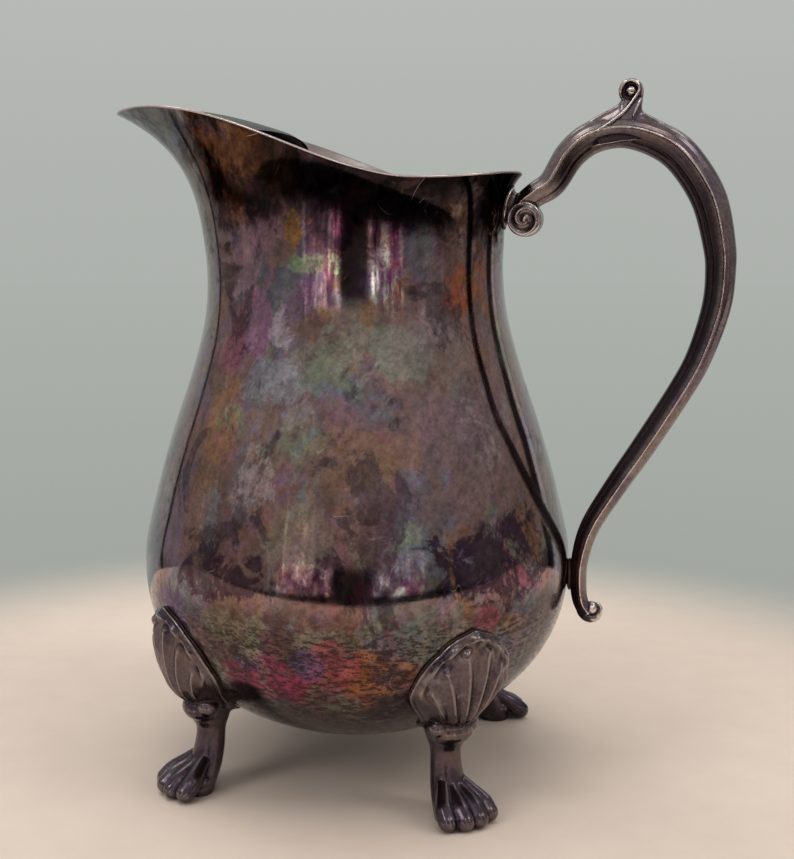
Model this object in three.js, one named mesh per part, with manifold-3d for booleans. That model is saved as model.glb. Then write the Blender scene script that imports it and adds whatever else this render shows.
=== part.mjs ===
// A footed water pitcher in silver plate. Millimetres, +Z up.
// The handle points along +X and the spout along -X, and XZ is the mirror plane.
// Every piece is modelled about the axis that the body is spun on. The whole
// pitcher is then moved so that its origin is the bottom centre of its box.

import * as THREE from 'three';
import Module from 'manifold-3d';
import { mergeVertices } from 'three/addons/utils/BufferGeometryUtils.js';

const wasm = await Module();
wasm.setup();

// Body: a spun shell whose mouth is drawn out into a spout.
const WALL = 1.1;
const BELLY_RADIUS = 72.1;
const BELLY_HEIGHT = 73.6;
const BOTTOM_POLE = 12.6;
const BOTTOM_FLAT = 16.5;
const LOWER_RADIUS_POWER = 1.92;
const LOWER_HEIGHT_POWER = 2.34;
const SIDE_HEIGHTS = [BELLY_HEIGHT, 94.2, 114.8, 135.3, 155.8, 173];
const SIDE_RADII = [BELLY_RADIUS, 68.1, 62.3, 55.4, 49.9, 48.5];

// Mouth: an egg-shaped rim, low at the handle and high at the spout's tip.
const RIM_BACK = 54.4;
const RIM_HALF_WIDTH = 52.1;
const SPOUT_REACH = 83.9;
const SPOUT_WIDTH_POWER = 1.28;
const RIM_LOW = 196.8;
const RIM_LOW_AT = 26;
const RIM_BACK_RISE = 3;
const RIM_CLIMB_START_POWER = 1.7;
const RIM_CLIMB_END_POWER = 3.3;
const SPOUT_TIP_HEIGHT = 220.9;
const FLARE_START_BACK = 168;
const FLARE_START_SPOUT = 136.5;

// Gaps: neighbours never touch, and solder lies between them.
const GAP = 0.3;
const SOLDER_THICKNESS = 0.5;
const SEAT = GAP + SOLDER_THICKNESS + GAP;

// Ice guard: a domed plate across the root of the spout.
const GUARD_FRONT = -54;
const GUARD_BACK = -29;
const GUARD_TONGUE = 5;
const GUARD_DROP = 1.8;
const GUARD_DOME = 3.8;
const GUARD_THICKNESS = 1;

// Handle: [distance from axis, height, thickness] down its centre line.
const HANDLE_STATIONS = [
  [52.6, 187.8, 6.2],
  [55.6, 190.6, 7.2],
  [59.5, 193.4, 8.2],
  [64.4, 196.8, 9.0],
  [69.8, 205.4, 9.8],
  [76.2, 210.5, 10.3],
  [84.5, 212.3, 10.1],
  [92.4, 211.2, 10.6],
  [101.1, 207.2, 11.3],
  [107.5, 200.6, 11.3],
  [113.3, 190.6, 11.1],
  [116.6, 177.7, 10.2],
  [117.4, 169.1, 9.5],
  [116.5, 157.4, 9.1],
  [112.0, 142.2, 8.3],
  [106.3, 130.6, 8.0],
  [95.1, 111.8, 7.8],
  [86.8, 98.7, 7.3],
  [79.0, 85.0, 6.6],
  [75.9, 73.7, 5.7],
  [75.6, 65.0, 5.4],
  [76.6, 59.0, 5.0],
  [78.9, 55.4, 4.6],
];
const HANDLE_WIDTH_RATIO = 1.15;
const HANDLE_RIDGE_POWER = 1.25;
const HANDLE_SIDES = 10;
const HANDLE_STEPS = 46;
const ROOT_FLANGE = { x: 51.6, z: 187.5, halfX: 2.6, halfY: 5.6, halfZ: 6.4 };
const VOLUTE = { x: 55.9, z: 185.2, radius: 5.6, width: 9 };
const VOLUTE_BOSS = { x: 55.9, z: 185.2, radius: 2.4, width: 10.4 };
const THUMB_SCROLL = { x: 88.3, z: 224.6, radius: 3.9, width: 7 };
const THUMB_NECK = [
  [72.4, 213.6],
  [75.6, 216.0],
  [82.4, 219.6],
  [84.8, 221.2],
  [85.2, 223.5],
  [91.9, 223.5],
  [91.8, 219.4],
  [92.4, 218.3],
  [94.5, 217.1],
  [98.9, 214.9],
  [97.0, 211.0],
  [76.0, 210.0],
];
const THUMB_NECK_WIDTH = 6;
const TAIL_BALL = { x: 80.3, z: 57.2, radius: 2.8 };

// Feet: four castings, each a fluted shell on the belly above a leg and a paw.
const FOOT_ANGLES = {
  foot_rear_right: 47.5,
  foot_front_right: 135,
  foot_front_left: -135,
  foot_rear_left: -47.5,
};
const SHELL_BOTTOM = 27;
const SHELL_TOP = 62.6;
const SHELL_WIDEST = 44;
const SHELL_HALF_WIDTH = 16.8;
const SHELL_ROOT_HALF_WIDTH = 7;
const SHELL_PROUD_TOP = 1;
const SHELL_PROUD_ROOT = 7.7;
// Leg rings: [distance from axis, height, half depth, half width].
const LEG_RINGS = [
  [57.6, 34.5, 6.6, 6.4],
  [57.8, 31.0, 7.2, 7.2],
  [56.8, 26.5, 6.2, 6.0],
  [56.4, 20.5, 4.9, 4.8],
  [57.2, 14.0, 5.3, 5.2],
  [59.2, 8.5, 6.0, 6.4],
  [61.8, 3.0, 6.2, 7.2],
  [62.6, -1.0, 6.0, 6.8],
];
const TOE_COUNT = 4;
const TOE_SPREAD = 15;
const TOE_REACH = 71.9;
const TOE_OUTER_SETBACK = 2.4;
const TOE_RADIUS = 3.1;
const TOE_LENGTH = 8;
const TOE_HEIGHT = 4.2;

const SILVER_BODY = { color: 0x6e6468, roughness: 0.18, metalness: 1 };
const SILVER_CAST = { color: 0x5d5657, roughness: 0.32, metalness: 1 };
const SOLDER = { color: 0x6a5a4c, roughness: 0.45, metalness: 1 };

const RING_SEGMENTS = 48;
const LOWER_RINGS = 8;
const UPPER_RINGS = 13;
const PAD_SIDES = 12;
const degrees = THREE.MathUtils.degToRad;
const { lerp } = THREE.MathUtils;

// ---------------------------------------------------------------- solids

// Joins rings of equal length into one closed body, capped at both ends.
function loft(rings) {
  const count = rings[0].length;
  const points = rings.flat();
  const faces = [];
  for (let ring = 0; ring + 1 < rings.length; ring += 1) {
    for (let i = 0; i < count; i += 1) {
      const a = ring * count + i;
      const b = ring * count + ((i + 1) % count);
      faces.push(a, b, b + count, a, b + count, a + count);
    }
  }
  for (const ring of [0, rings.length - 1]) {
    const centre = new THREE.Vector3();
    rings[ring].forEach((point) => centre.addScaledVector(point, 1 / count));
    points.push(centre);
    for (let i = 0; i < count; i += 1) {
      const a = ring * count + i;
      const b = ring * count + ((i + 1) % count);
      if (ring === 0) faces.push(points.length - 1, b, a);
      else faces.push(points.length - 1, a, b);
    }
  }
  if (signedVolume(points, faces) < 0) faces.reverse();
  const geometry = new THREE.BufferGeometry().setFromPoints(points);
  geometry.setIndex(faces);
  return geometry;
}

function signedVolume(points, faces) {
  let volume = 0;
  for (let i = 0; i < faces.length; i += 3) {
    const [a, b, c] = [points[faces[i]], points[faces[i + 1]], points[faces[i + 2]]];
    volume += a.dot(b.clone().cross(c)) / 6;
  }
  return volume;
}

// A ring in the plane of two directions, with `sides` points. A power above 1
// draws the oval in towards a lozenge, which gives a bar its side ridges.
function ovalRing(centre, along, across, halfAlong, halfAcross, sides, power = 1) {
  const squash = (value) => Math.sign(value) * Math.abs(value) ** power;
  return Array.from({ length: sides }, (_, i) => {
    const angle = (i / sides) * 2 * Math.PI;
    return centre
      .clone()
      .addScaledVector(along, halfAlong * squash(Math.cos(angle)))
      .addScaledVector(across, halfAcross * squash(Math.sin(angle)));
  });
}

function toSolid(geometry) {
  const bare = geometry.clone();
  bare.deleteAttribute('normal');
  bare.deleteAttribute('uv');
  const merged = mergeVertices(bare, 1e-5);
  return new wasm.Manifold(
    new wasm.Mesh({
      numProp: 3,
      vertProperties: new Float32Array(merged.attributes.position.array),
      triVerts: new Uint32Array(merged.index.array),
    }),
  );
}

function toGeometry(solid) {
  const mesh = solid.getMesh();
  const geometry = new THREE.BufferGeometry();
  const positions = new THREE.BufferAttribute(mesh.vertProperties.slice(), 3);
  geometry.setAttribute('position', positions);
  geometry.setIndex(Array.from(mesh.triVerts));
  return geometry;
}

const union = (geometries) =>
  geometries.map(toSolid).reduce((whole, solid) => whole.add(solid));

function ellipsoid(x, y, z, halfX, halfY, halfZ, turn = 0) {
  const geometry = new THREE.SphereGeometry(1, 10, 6);
  geometry.scale(halfX, halfY, halfZ);
  geometry.rotateZ(turn);
  geometry.translate(x, y, z);
  return geometry;
}

// A disc whose axis runs across the pitcher, along Y.
function crossDisc({ x, z, radius, width }) {
  const geometry = new THREE.CylinderGeometry(radius, radius, width, 18);
  geometry.translate(x, 0, z);
  return geometry;
}

// ------------------------------------------------------------ body shell

const sideCurve = new THREE.CubicInterpolant(SIDE_HEIGHTS, SIDE_RADII, 1);
sideCurve.settings = {
  endingStart: THREE.ZeroSlopeEnding,
  endingEnd: THREE.ZeroSlopeEnding,
};

// Radius of the round part at a height, grown outwards by `offset`.
function bodyRadius(z, offset) {
  if (z >= BELLY_HEIGHT) {
    const top = SIDE_HEIGHTS[SIDE_HEIGHTS.length - 1];
    return sideCurve.evaluate(Math.min(z, top))[0] + offset;
  }
  const depth = BELLY_HEIGHT - BOTTOM_POLE + offset;
  const fall = Math.min((BELLY_HEIGHT - z) / depth, 1);
  const cosine = fall ** (LOWER_HEIGHT_POWER / 2);
  const sine = Math.sqrt(1 - cosine * cosine);
  return (BELLY_RADIUS + offset) * sine ** (2 / LOWER_RADIUS_POWER);
}

// Plan of the rim at a meridian: 0 at the handle, 180 degrees at the spout.
function rimPlan(phi) {
  const cosine = Math.cos(phi);
  const sine = Math.sin(phi);
  if (cosine >= 0) return [RIM_BACK * cosine, RIM_HALF_WIDTH * sine];
  const y = RIM_HALF_WIDTH * Math.abs(sine) ** SPOUT_WIDTH_POWER;
  return [SPOUT_REACH * cosine, Math.sign(sine) * y];
}

// The rim dips just in front of the handle and climbs in an S to the tip.
function rimHeight(x) {
  if (x > RIM_LOW_AT) {
    const back = (x - RIM_LOW_AT) / (RIM_BACK - RIM_LOW_AT);
    return RIM_LOW + RIM_BACK_RISE * back * back;
  }
  const front = Math.min((RIM_LOW_AT - x) / (RIM_LOW_AT + SPOUT_REACH), 1);
  const climb = 1 - (1 - front ** RIM_CLIMB_START_POWER) ** RIM_CLIMB_END_POWER;
  return RIM_LOW + (SPOUT_TIP_HEIGHT - RIM_LOW) * climb;
}

// A point of the shell on a meridian at a height, grown outwards by `offset`.
function shellPoint(phi, z, offset) {
  const round = bodyRadius(z, offset);
  const [rimX, rimY] = rimPlan(phi);
  const frontness = (1 - Math.cos(phi)) / 2;
  const start = lerp(FLARE_START_BACK, FLARE_START_SPOUT, frontness);
  const rise = Math.max((z - start) / (rimHeight(rimX) - start), 0);
  const flare = 0.2 * rise ** 1.5 + 0.8 * rise ** 6;
  const x = lerp(round * Math.cos(phi), rimX + offset * Math.cos(phi), flare);
  const y = lerp(round * Math.sin(phi), rimY + offset * Math.sin(phi), flare);
  return new THREE.Vector3(x, y, z);
}

function shellRings(offset) {
  const flat = BOTTOM_FLAT - offset;
  const meridians = Array.from(
    { length: RING_SEGMENTS },
    (_, i) => (i / RING_SEGMENTS) * 2 * Math.PI,
  );
  const rings = [];
  for (let i = 0; i < LOWER_RINGS; i += 1) {
    const z = lerp(flat, BELLY_HEIGHT, (i / LOWER_RINGS) ** 1.6);
    rings.push(meridians.map((phi) => shellPoint(phi, z, offset)));
  }
  for (let i = 0; i <= UPPER_RINGS; i += 1) {
    const share = 1 - (1 - i / UPPER_RINGS) ** 1.35;
    rings.push(
      meridians.map((phi) => {
        const top = rimHeight(rimPlan(phi)[0]);
        return shellPoint(phi, lerp(BELLY_HEIGHT, top, share), offset);
      }),
    );
  }
  return rings;
}

function bodyShell() {
  return loft([...shellRings(0), ...shellRings(-WALL).reverse()]);
}

// The body grown by a clearance, as a full solid that neighbours are cut with.
function bodyKeepOut(clearance) {
  return toSolid(loft(shellRings(clearance)));
}

// A plate that lies on the body: an outline of [across, height] points, which
// is shrunk towards its middle, between two offsets from the body's surface.
// `shares` are the sizes of the shrunken outlines, from the middle outwards.
function platePatch(outline, innerOffset, outerOffset, shares) {
  const layers = [];
  const middle = outline.reduce((sum, [, z]) => sum + z / outline.length, 0);
  const addLayer = (share, offset) =>
    layers.push(
      outline.map(([across, height]) => {
        const z = lerp(middle, height, share);
        const phi = (across * share) / bodyRadius(z, 0);
        const proud = typeof offset === 'function' ? offset(share, z) : offset;
        return shellPoint(phi, z, proud);
      }),
    );
  shares.forEach((share) => addLayer(share, innerOffset));
  [...shares].reverse().forEach((share) => addLayer(share, outerOffset));
  return loft(layers);
}

const ovalOutline = (halfWidth, low, high, sides) =>
  Array.from({ length: sides }, (_, i) => {
    const angle = (i / sides) * 2 * Math.PI;
    const z = (low + high) / 2 + ((high - low) / 2) * Math.sin(angle);
    return [halfWidth * Math.cos(angle), z];
  });

function solderPad(halfWidth, low, high) {
  const outline = ovalOutline(halfWidth, low, high, PAD_SIDES);
  return platePatch(outline, GAP, GAP + SOLDER_THICKNESS, [0.1, 0.55, 1]);
}

// ------------------------------------------------------------- ice guard

// Half the clear width inside the mouth at a distance from the axis.
function mouthHalfWidth(x, z) {
  let near = Math.PI / 2;
  let far = Math.PI;
  for (let i = 0; i < 30; i += 1) {
    const middle = (near + far) / 2;
    if (shellPoint(middle, z, -WALL - GAP).x > x) near = middle;
    else far = middle;
  }
  return shellPoint(near, z, -WALL - GAP).y;
}

function iceGuard() {
  const stations = 9;
  const rings = [];
  for (let i = -stations; i <= stations; i += 1) {
    const across = i / stations;
    const back = GUARD_BACK + GUARD_TONGUE * (1 - across * across);
    const row = [];
    for (let step = 0; step <= 4; step += 1) {
      const x = lerp(GUARD_FRONT, back, step / 4);
      const seat = rimHeight(x) - GUARD_DROP;
      const y = across * (mouthHalfWidth(x, seat - GUARD_THICKNESS) - 0.2);
      const dome = GUARD_DOME * (1 - across * across);
      row.push(new THREE.Vector3(x, y, seat + dome));
    }
    const under = row.map((point) => point.clone().setZ(point.z - GUARD_THICKNESS));
    rings.push([...row, ...under.reverse()]);
  }
  return loft(rings);
}

// ---------------------------------------------------------------- handle

function handleBar() {
  const curve = new THREE.CatmullRomCurve3(
    HANDLE_STATIONS.map(([x, z, thickness]) => new THREE.Vector3(x, z, thickness)),
  );
  const across = new THREE.Vector3(0, 1, 0);
  const rings = [];
  for (let i = 0; i <= HANDLE_STEPS; i += 1) {
    const here = curve.getPoint(i / HANDLE_STEPS);
    const tangent = curve.getTangent(i / HANDLE_STEPS);
    const outward = new THREE.Vector3(-tangent.y, 0, tangent.x).normalize();
    const half = here.z / 2;
    const halfWidth = half * HANDLE_WIDTH_RATIO;
    const centre = new THREE.Vector3(here.x, 0, here.y);
    const ridge = HANDLE_RIDGE_POWER;
    rings.push(ovalRing(centre, outward, across, half, halfWidth, HANDLE_SIDES, ridge));
  }
  return loft(rings);
}

function thumbNeck() {
  const outline = new THREE.Shape(THUMB_NECK.map(([x, z]) => new THREE.Vector2(x, z)));
  const geometry = new THREE.ExtrudeGeometry(outline, {
    depth: THUMB_NECK_WIDTH,
    bevelEnabled: false,
  });
  geometry.rotateX(Math.PI / 2);
  geometry.translate(0, THUMB_NECK_WIDTH / 2, 0);
  return geometry;
}

function handle(keepOut) {
  const flange = ROOT_FLANGE;
  const ball = TAIL_BALL;
  const castings = [
    handleBar(),
    ellipsoid(flange.x, 0, flange.z, flange.halfX, flange.halfY, flange.halfZ),
    crossDisc(VOLUTE),
    crossDisc(VOLUTE_BOSS),
    thumbNeck(),
    crossDisc(THUMB_SCROLL),
    ellipsoid(ball.x, 0, ball.z, ball.radius, ball.radius, ball.radius),
  ];
  return toGeometry(union(castings).subtract(keepOut));
}

// ------------------------------------------------------------------ feet

// The fluted shell: a fan that widens from the knee and closes in an arch.
function shellOutline() {
  const outline = [];
  const side = 7;
  for (let i = 0; i <= side; i += 1) {
    const z = lerp(SHELL_BOTTOM, SHELL_TOP, i / side);
    outline.push([shellHalfWidth(z), z]);
  }
  const mirrored = outline.slice(0, -1).map(([across, z]) => [-across, z]);
  return [...outline, ...mirrored.reverse()];
}

function shellHalfWidth(z) {
  if (z < SHELL_WIDEST) {
    const fall = (SHELL_WIDEST - z) / (SHELL_WIDEST - SHELL_BOTTOM);
    return lerp(SHELL_HALF_WIDTH, SHELL_ROOT_HALF_WIDTH, fall * fall * (3 - 2 * fall));
  }
  const arch = (z - SHELL_WIDEST) / (SHELL_TOP - SHELL_WIDEST);
  return SHELL_HALF_WIDTH * Math.max(1 - arch ** 1.8, 0) ** 0.75;
}

function footShell() {
  const proud = (share, z) => {
    const rise = (z - SHELL_BOTTOM) / (SHELL_TOP - SHELL_BOTTOM);
    const crown = lerp(SHELL_PROUD_ROOT, SHELL_PROUD_TOP, rise ** 0.8);
    return SEAT + 0.8 + crown * (1 - share ** 2);
  };
  return platePatch(shellOutline(), SEAT, proud, [0.1, 0.4, 0.7, 0.9, 1]);
}

function leg() {
  const along = new THREE.Vector3(1, 0, 0);
  const across = new THREE.Vector3(0, 1, 0);
  return loft(
    LEG_RINGS.map(([x, z, depth, width]) =>
      ovalRing(new THREE.Vector3(x, 0, z), along, across, depth, width, 12),
    ),
  );
}

function toes() {
  return Array.from({ length: TOE_COUNT }, (_, i) => {
    const share = i / (TOE_COUNT - 1) - 0.5;
    const x = TOE_REACH - TOE_LENGTH / 2 - TOE_OUTER_SETBACK * Math.abs(2 * share) ** 2;
    const y = TOE_SPREAD * share;
    return ellipsoid(x, y, TOE_HEIGHT - 1, TOE_LENGTH, TOE_RADIUS, TOE_HEIGHT, share * 0.5);
  });
}

// One foot in its own frame, with the pitcher's axis at x = 0.
function foot(keepOut) {
  const floorCut = new THREE.BoxGeometry(60, 60, 20);
  floorCut.translate(62, 0, -10);
  const whole = union([footShell(), leg(), ...toes()]);
  return toGeometry(whole.subtract(keepOut).subtract(toSolid(floorCut)));
}

// ------------------------------------------------------------ the pitcher

const pieces = new THREE.Group();

function addPiece(name, geometry, material, turn = 0) {
  const faceted = geometry.index ? geometry.toNonIndexed() : geometry;
  faceted.computeVertexNormals();
  const mesh = new THREE.Mesh(faceted, new THREE.MeshStandardMaterial(material));
  mesh.name = name;
  mesh.rotation.z = turn;
  pieces.add(mesh);
}

const seatCut = bodyKeepOut(SEAT);
addPiece('body_shell', bodyShell(), SILVER_BODY);
addPiece('ice_guard', iceGuard(), SILVER_BODY);
addPiece('handle', handle(seatCut), SILVER_CAST);
addPiece('upper_handle_solder', solderPad(3.8, 181.5, 192.5), SOLDER);
addPiece('lower_handle_solder', solderPad(2.2, 64, 74), SOLDER);

const footGeometry = foot(seatCut);
for (const [name, angle] of Object.entries(FOOT_ANGLES)) {
  addPiece(name, footGeometry.clone(), SILVER_CAST, degrees(angle));
  addPiece(`${name}_solder`, solderPad(5.4, 33, 55), SOLDER, degrees(angle));
}

const box = new THREE.Box3().setFromObject(pieces);
pieces.position.x = -(box.min.x + box.max.x) / 2;
pieces.position.z = -box.min.z;
const pitcher = new THREE.Group();
pitcher.add(pieces);

export default pitcher;
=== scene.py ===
"""The looks of a footed silver-plated water pitcher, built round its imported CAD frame.

Lengths in this script are millimetres, measured from the axis that the body was
spun on, with the handle along +X, until add_piece and move_points turn them into
metres in the frame. The silver is old: a brown tarnish with iridescent patches.
"""

import math

import bpy
import numpy as np
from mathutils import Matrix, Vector


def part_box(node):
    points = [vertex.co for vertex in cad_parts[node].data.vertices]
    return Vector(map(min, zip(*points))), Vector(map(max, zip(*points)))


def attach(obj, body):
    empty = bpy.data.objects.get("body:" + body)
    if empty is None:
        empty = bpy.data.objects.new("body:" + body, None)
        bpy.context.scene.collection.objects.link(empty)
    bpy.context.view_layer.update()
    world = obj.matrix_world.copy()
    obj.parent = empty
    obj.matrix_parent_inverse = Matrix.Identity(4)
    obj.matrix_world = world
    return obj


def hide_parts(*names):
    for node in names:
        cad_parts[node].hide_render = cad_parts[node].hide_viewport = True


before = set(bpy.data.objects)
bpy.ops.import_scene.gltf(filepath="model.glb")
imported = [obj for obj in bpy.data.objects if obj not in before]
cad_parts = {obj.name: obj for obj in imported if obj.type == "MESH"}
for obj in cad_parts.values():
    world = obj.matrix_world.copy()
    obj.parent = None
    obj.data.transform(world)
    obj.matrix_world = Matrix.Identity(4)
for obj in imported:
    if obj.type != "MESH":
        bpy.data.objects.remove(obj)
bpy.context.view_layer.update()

MM = 0.001

# ------ sizes from the frame ------

shell_low, shell_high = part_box("body_shell")
BELLY_RADIUS = (shell_high.y - shell_low.y) / 2 / MM
AXIS_X = shell_high.x / MM - BELLY_RADIUS
BOTTOM_FLAT = shell_low.z / MM
SPOUT_TIP_HEIGHT = shell_high.z / MM
SPOUT_REACH = AXIS_X - shell_low.x / MM

# Body: the spun profile and the drawn mouth, as in the CAD part.
WALL = 1.1
BELLY_HEIGHT = 73.6
BOTTOM_POLE = 12.6
LOWER_RADIUS_POWER = 1.92
LOWER_HEIGHT_POWER = 2.34
SIDE_HEIGHTS = (BELLY_HEIGHT, 94.2, 114.8, 135.3, 155.8, 173.0)
SIDE_RADII = (BELLY_RADIUS, 68.1, 62.3, 55.4, 49.9, 48.5)
RIM_BACK = 54.4
RIM_HALF_WIDTH = 52.1
SPOUT_WIDTH_POWER = 1.28
RIM_LOW = 196.8
RIM_LOW_AT = 26.0
RIM_BACK_RISE = 3.0
RIM_CLIMB_START_POWER = 1.7
RIM_CLIMB_END_POWER = 3.3
FLARE_START_BACK = 168.0
FLARE_START_SPOUT = 136.5
# The flare is a slow widening plus a sharp one near the rim.
FLARE_SLOW_SHARE = 0.2
FLARE_SLOW_POWER = 1.5
FLARE_SHARP_POWER = 6
LIP_ROUNDNESS = 0.45
# Up to this height the castings are kept off the body.
NECK_TOP = 200.0
# Rings of the mesh, and the powers that crowd them towards the bottom and the rim;
# those of the flat floor are shares of its radius.
MERIDIANS = 200
FLOOR_RINGS = (0.25, 0.6, 0.9)
LOWER_RINGS = 44
LOWER_CROWDING = 1.6
UPPER_RINGS = 84
UPPER_CROWDING = 1.3
LIP_RINGS = 6

# Ice guard: a domed plate across the root of the spout.
GUARD_FRONT = -54.0
GUARD_BACK = -29.0
GUARD_TONGUE = 5.0
GUARD_DROP = 1.8
GUARD_DOME = 3.8
GUARD_THICKNESS = 1.0
GUARD_STATIONS = 36
GUARD_STEPS = 16
# Halvings in the search for the width of the mouth.
HALVINGS = 30

# Handle: (distance from the axis, height, thickness) down its centre line.
HANDLE_STATIONS = (
    (52.6, 187.8, 6.2), (55.6, 190.6, 7.2), (59.5, 193.4, 8.2), (64.4, 196.8, 9.0),
    (69.8, 205.4, 9.8), (76.2, 210.5, 10.3), (84.5, 212.3, 10.1), (92.4, 211.2, 10.6),
    (101.1, 207.2, 11.3), (107.5, 200.6, 11.3), (113.3, 190.6, 11.1), (116.6, 177.7, 10.2),
    (117.4, 169.1, 9.5), (116.5, 157.4, 9.1), (112.0, 142.2, 8.3), (106.3, 130.6, 8.0),
    (95.1, 111.8, 7.8), (86.8, 98.7, 7.3), (79.0, 85.0, 6.6), (75.9, 73.7, 5.7),
    (75.6, 65.0, 5.4), (76.6, 59.0, 5.0), (78.9, 55.4, 4.6),
)
HANDLE_WIDTH_RATIO = 1.15
BAR_STEPS = 420
SECTION_STEPS = 3
SIDE_STEPS = 160
# Half of the bar's section, from its outer crown to its inner face, as shares
# of the half thickness and of the half width: a rounded back, a thin ridge along
# the side, a flat below it, a fine groove and an inner band.
HANDLE_SECTION = (
    (1.00, 0.00), (0.985, 0.22), (0.92, 0.48), (0.77, 0.73), (0.55, 0.90), (0.32, 0.98),
    (0.22, 1.07), (0.12, 0.97), (-0.18, 0.87), (-0.44, 0.76), (-0.55, 0.67), (-0.64, 0.68),
    (-0.86, 0.56), (-0.97, 0.36), (-1.00, 0.00),
)
# The volute's spiral has a pitch, a starting angle and a relief.
VOLUTE = {
    "x": 55.9, "z": 185.2, "radius": 5.6, "half_width": 4.5, "pitch": 3.1, "start": 1.9,
    "relief": 0.55,
}
SCROLL_SIDES = 84
SCROLL_LEVELS = (0.8, 0.4, 0, -0.4, -0.8)
# Half lengths of the ball in a scroll's middle, in the mirror plane and across it.
VOLUTE_BALL = (2.1, 5.1)
THUMB_SCROLL = {"x": 88.3, "z": 224.6}
THUMB_RADIUS = 3.9
# Radius and half width of the thumb scroll's face, from its rim to its sunk middle.
THUMB_FACE = (
    (1.00, 2.2), (0.99, 2.8), (0.90, 3.35), (0.80, 3.5), (0.73, 3.3), (0.68, 2.8),
    (0.60, 2.5), (0.30, 2.4),
)
THUMB_SIDES = 60
THUMB_SUNK_FROM = 0.75
THUMB_NOTCH_ANGLE = math.radians(228)
THUMB_NOTCH_WIDTH = 0.45
THUMB_NOTCH_DEPTH = 0.35
THUMB_BALL = (2.35, 4.3)
# The neck under the thumb scroll: its outline, and (level, share of the outline).
NECK_LEFT = (
    (70.2, 212.3), (75.6, 216.0), (78.8, 217.8), (82.4, 219.6), (84.2, 220.7), (85.6, 222.2),
)
NECK_RIGHT = (
    (92.1, 223.4), (91.9, 221.4), (91.8, 219.4), (92.4, 218.2), (94.3, 217.2), (99.6, 214.4),
)
NECK_FOOT = ((98.0, 209.5), (86.0, 209.0), (74.0, 207.0))
NECK_MIDDLE = (86.0, 209.5)
NECK_LEFT_STEPS = 16
NECK_RIGHT_STEPS = 14
NECK_LEVELS = (
    (0.0, 1.0), (1.6, 0.995), (2.6, 0.97), (3.3, 0.92), (3.9, 0.84), (4.5, 0.72),
    (5.0, 0.55),
)
# The raised line on each side of the neck.
LINE_RADIUS = 0.45
LINE_STEPS = 80
LINE_PATH = (
    (78.6, 6.0, 212.4), (81.0, 5.7, 213.9), (83.6, 5.3, 215.8), (86.3, 4.8, 218.0),
    (88.0, 4.35, 220.1), (89.4, 3.8, 222.2), (90.7, 3.5, 224.3), (90.7, 3.5, 226.0),
    (89.6, 3.5, 227.3), (87.9, 3.5, 227.8), (86.2, 3.5, 227.0), (85.4, 3.45, 225.6),
)
# The curl under the bar's lower end, and the ball in it.
TAIL_PATH = (
    (76.7, 0, 59.2), (77.2, 0, 56.0), (78.9, 0, 54.1), (81.2, 0, 54.0), (82.6, 0, 55.6),
    (82.9, 0, 57.3), (82.2, 0, 58.8),
)
TAIL_RADII = (2.2, 0.7)
TAIL_STEPS = 30
TAIL_BALL = {"x": 80.2, "z": 57.4}
TAIL_BALL_HALVES = (2.15, 2.9)
# Painted shade on the side of the bar that faces the body: where it starts as a share
# of the half thickness, its fade, the distance from the axis from which it counts,
# and how much lighter it is where it faces down.
INNER_FROM = 0.12
INNER_FADE = 0.45
PAST_VOLUTE = 63
PAST_VOLUTE_FADE = 5
UNDERNEATH_LIGHT = 0.65
# The flared collar where the handle meets the neck, and its rings: share of its
# oval, height off the neck.
COLLAR_LIFT = 0.35
COLLAR_SIDES = 48
COLLAR_HALF_WIDTH = 5.4
COLLAR_LOW = 182.5
COLLAR_HIGH = 195.5
COLLAR_RINGS = (
    (0.05, 0.1), (1.00, 0.1), (0.99, 0.5), (0.92, 0.95), (0.78, 1.35), (0.64, 2.0),
    (0.52, 3.0), (0.44, 4.2), (0.05, 4.5),
)

# Feet: four castings, each a fluted shell on the belly above a leg and a paw.
FOOT_ANGLES = {
    "foot_rear_right": 47.5, "foot_front_right": 135, "foot_front_left": -135,
    "foot_rear_left": -47.5,
}
SHELL_BOTTOM = 27.0
SHELL_TOP = 62.6
SHELL_WIDEST = 44.0
SHELL_HALF_WIDTH = 16.8
SHELL_ROOT_HALF_WIDTH = 6.0
SHELL_ARCH_POWER = 1.9
SHELL_ARCH_FULLNESS = 0.64
# How far the middle of the shell stands off the belly, by height.
SHELL_PROUD_HEIGHTS = (27.0, 30.0, 33.0, 36.5, 42.4, 49.0, 55.6, 60.5, 63.3)
SHELL_PROUD = (4.0, 6.9, 7.7, 7.5, 6.3, 4.9, 3.2, 1.6, 0.6)
SHELL_EDGE = 0.9
SHELL_THINNEST = 0.4
SHELL_ROWS = 96
SHELL_LAST_ROW = 0.992
SHELL_COLUMNS = 121
FAN_ORIGIN = 24.0
FAN_HALF_ANGLE = math.radians(44)
FLUTES = 7
FLUTE_DEPTH = 1.3
KNOB_HEIGHT = 1.5
KNOB_INSET = 1.9
KNOB_SIZE = 1.3
PIT_DEPTH = 1.5
PIT_INSET = 3.2
# The ribs fade in from the edge, and the knobs and pits with height.
CARVED_FROM = 36
CARVED_FADE = 8
RIB_INSET = 3.0
BORDER_RADIUS = 0.65
BORDER_OFFSET = 0.95
BORDER_INSET = 0.2
BORDER_BOTTOM = 31.0
SCALLOP_DEPTH = 0.35
SCALLOP_INSET = 0.2
LEG_SIDES = 36
LEG_STEPS = 40
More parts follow.
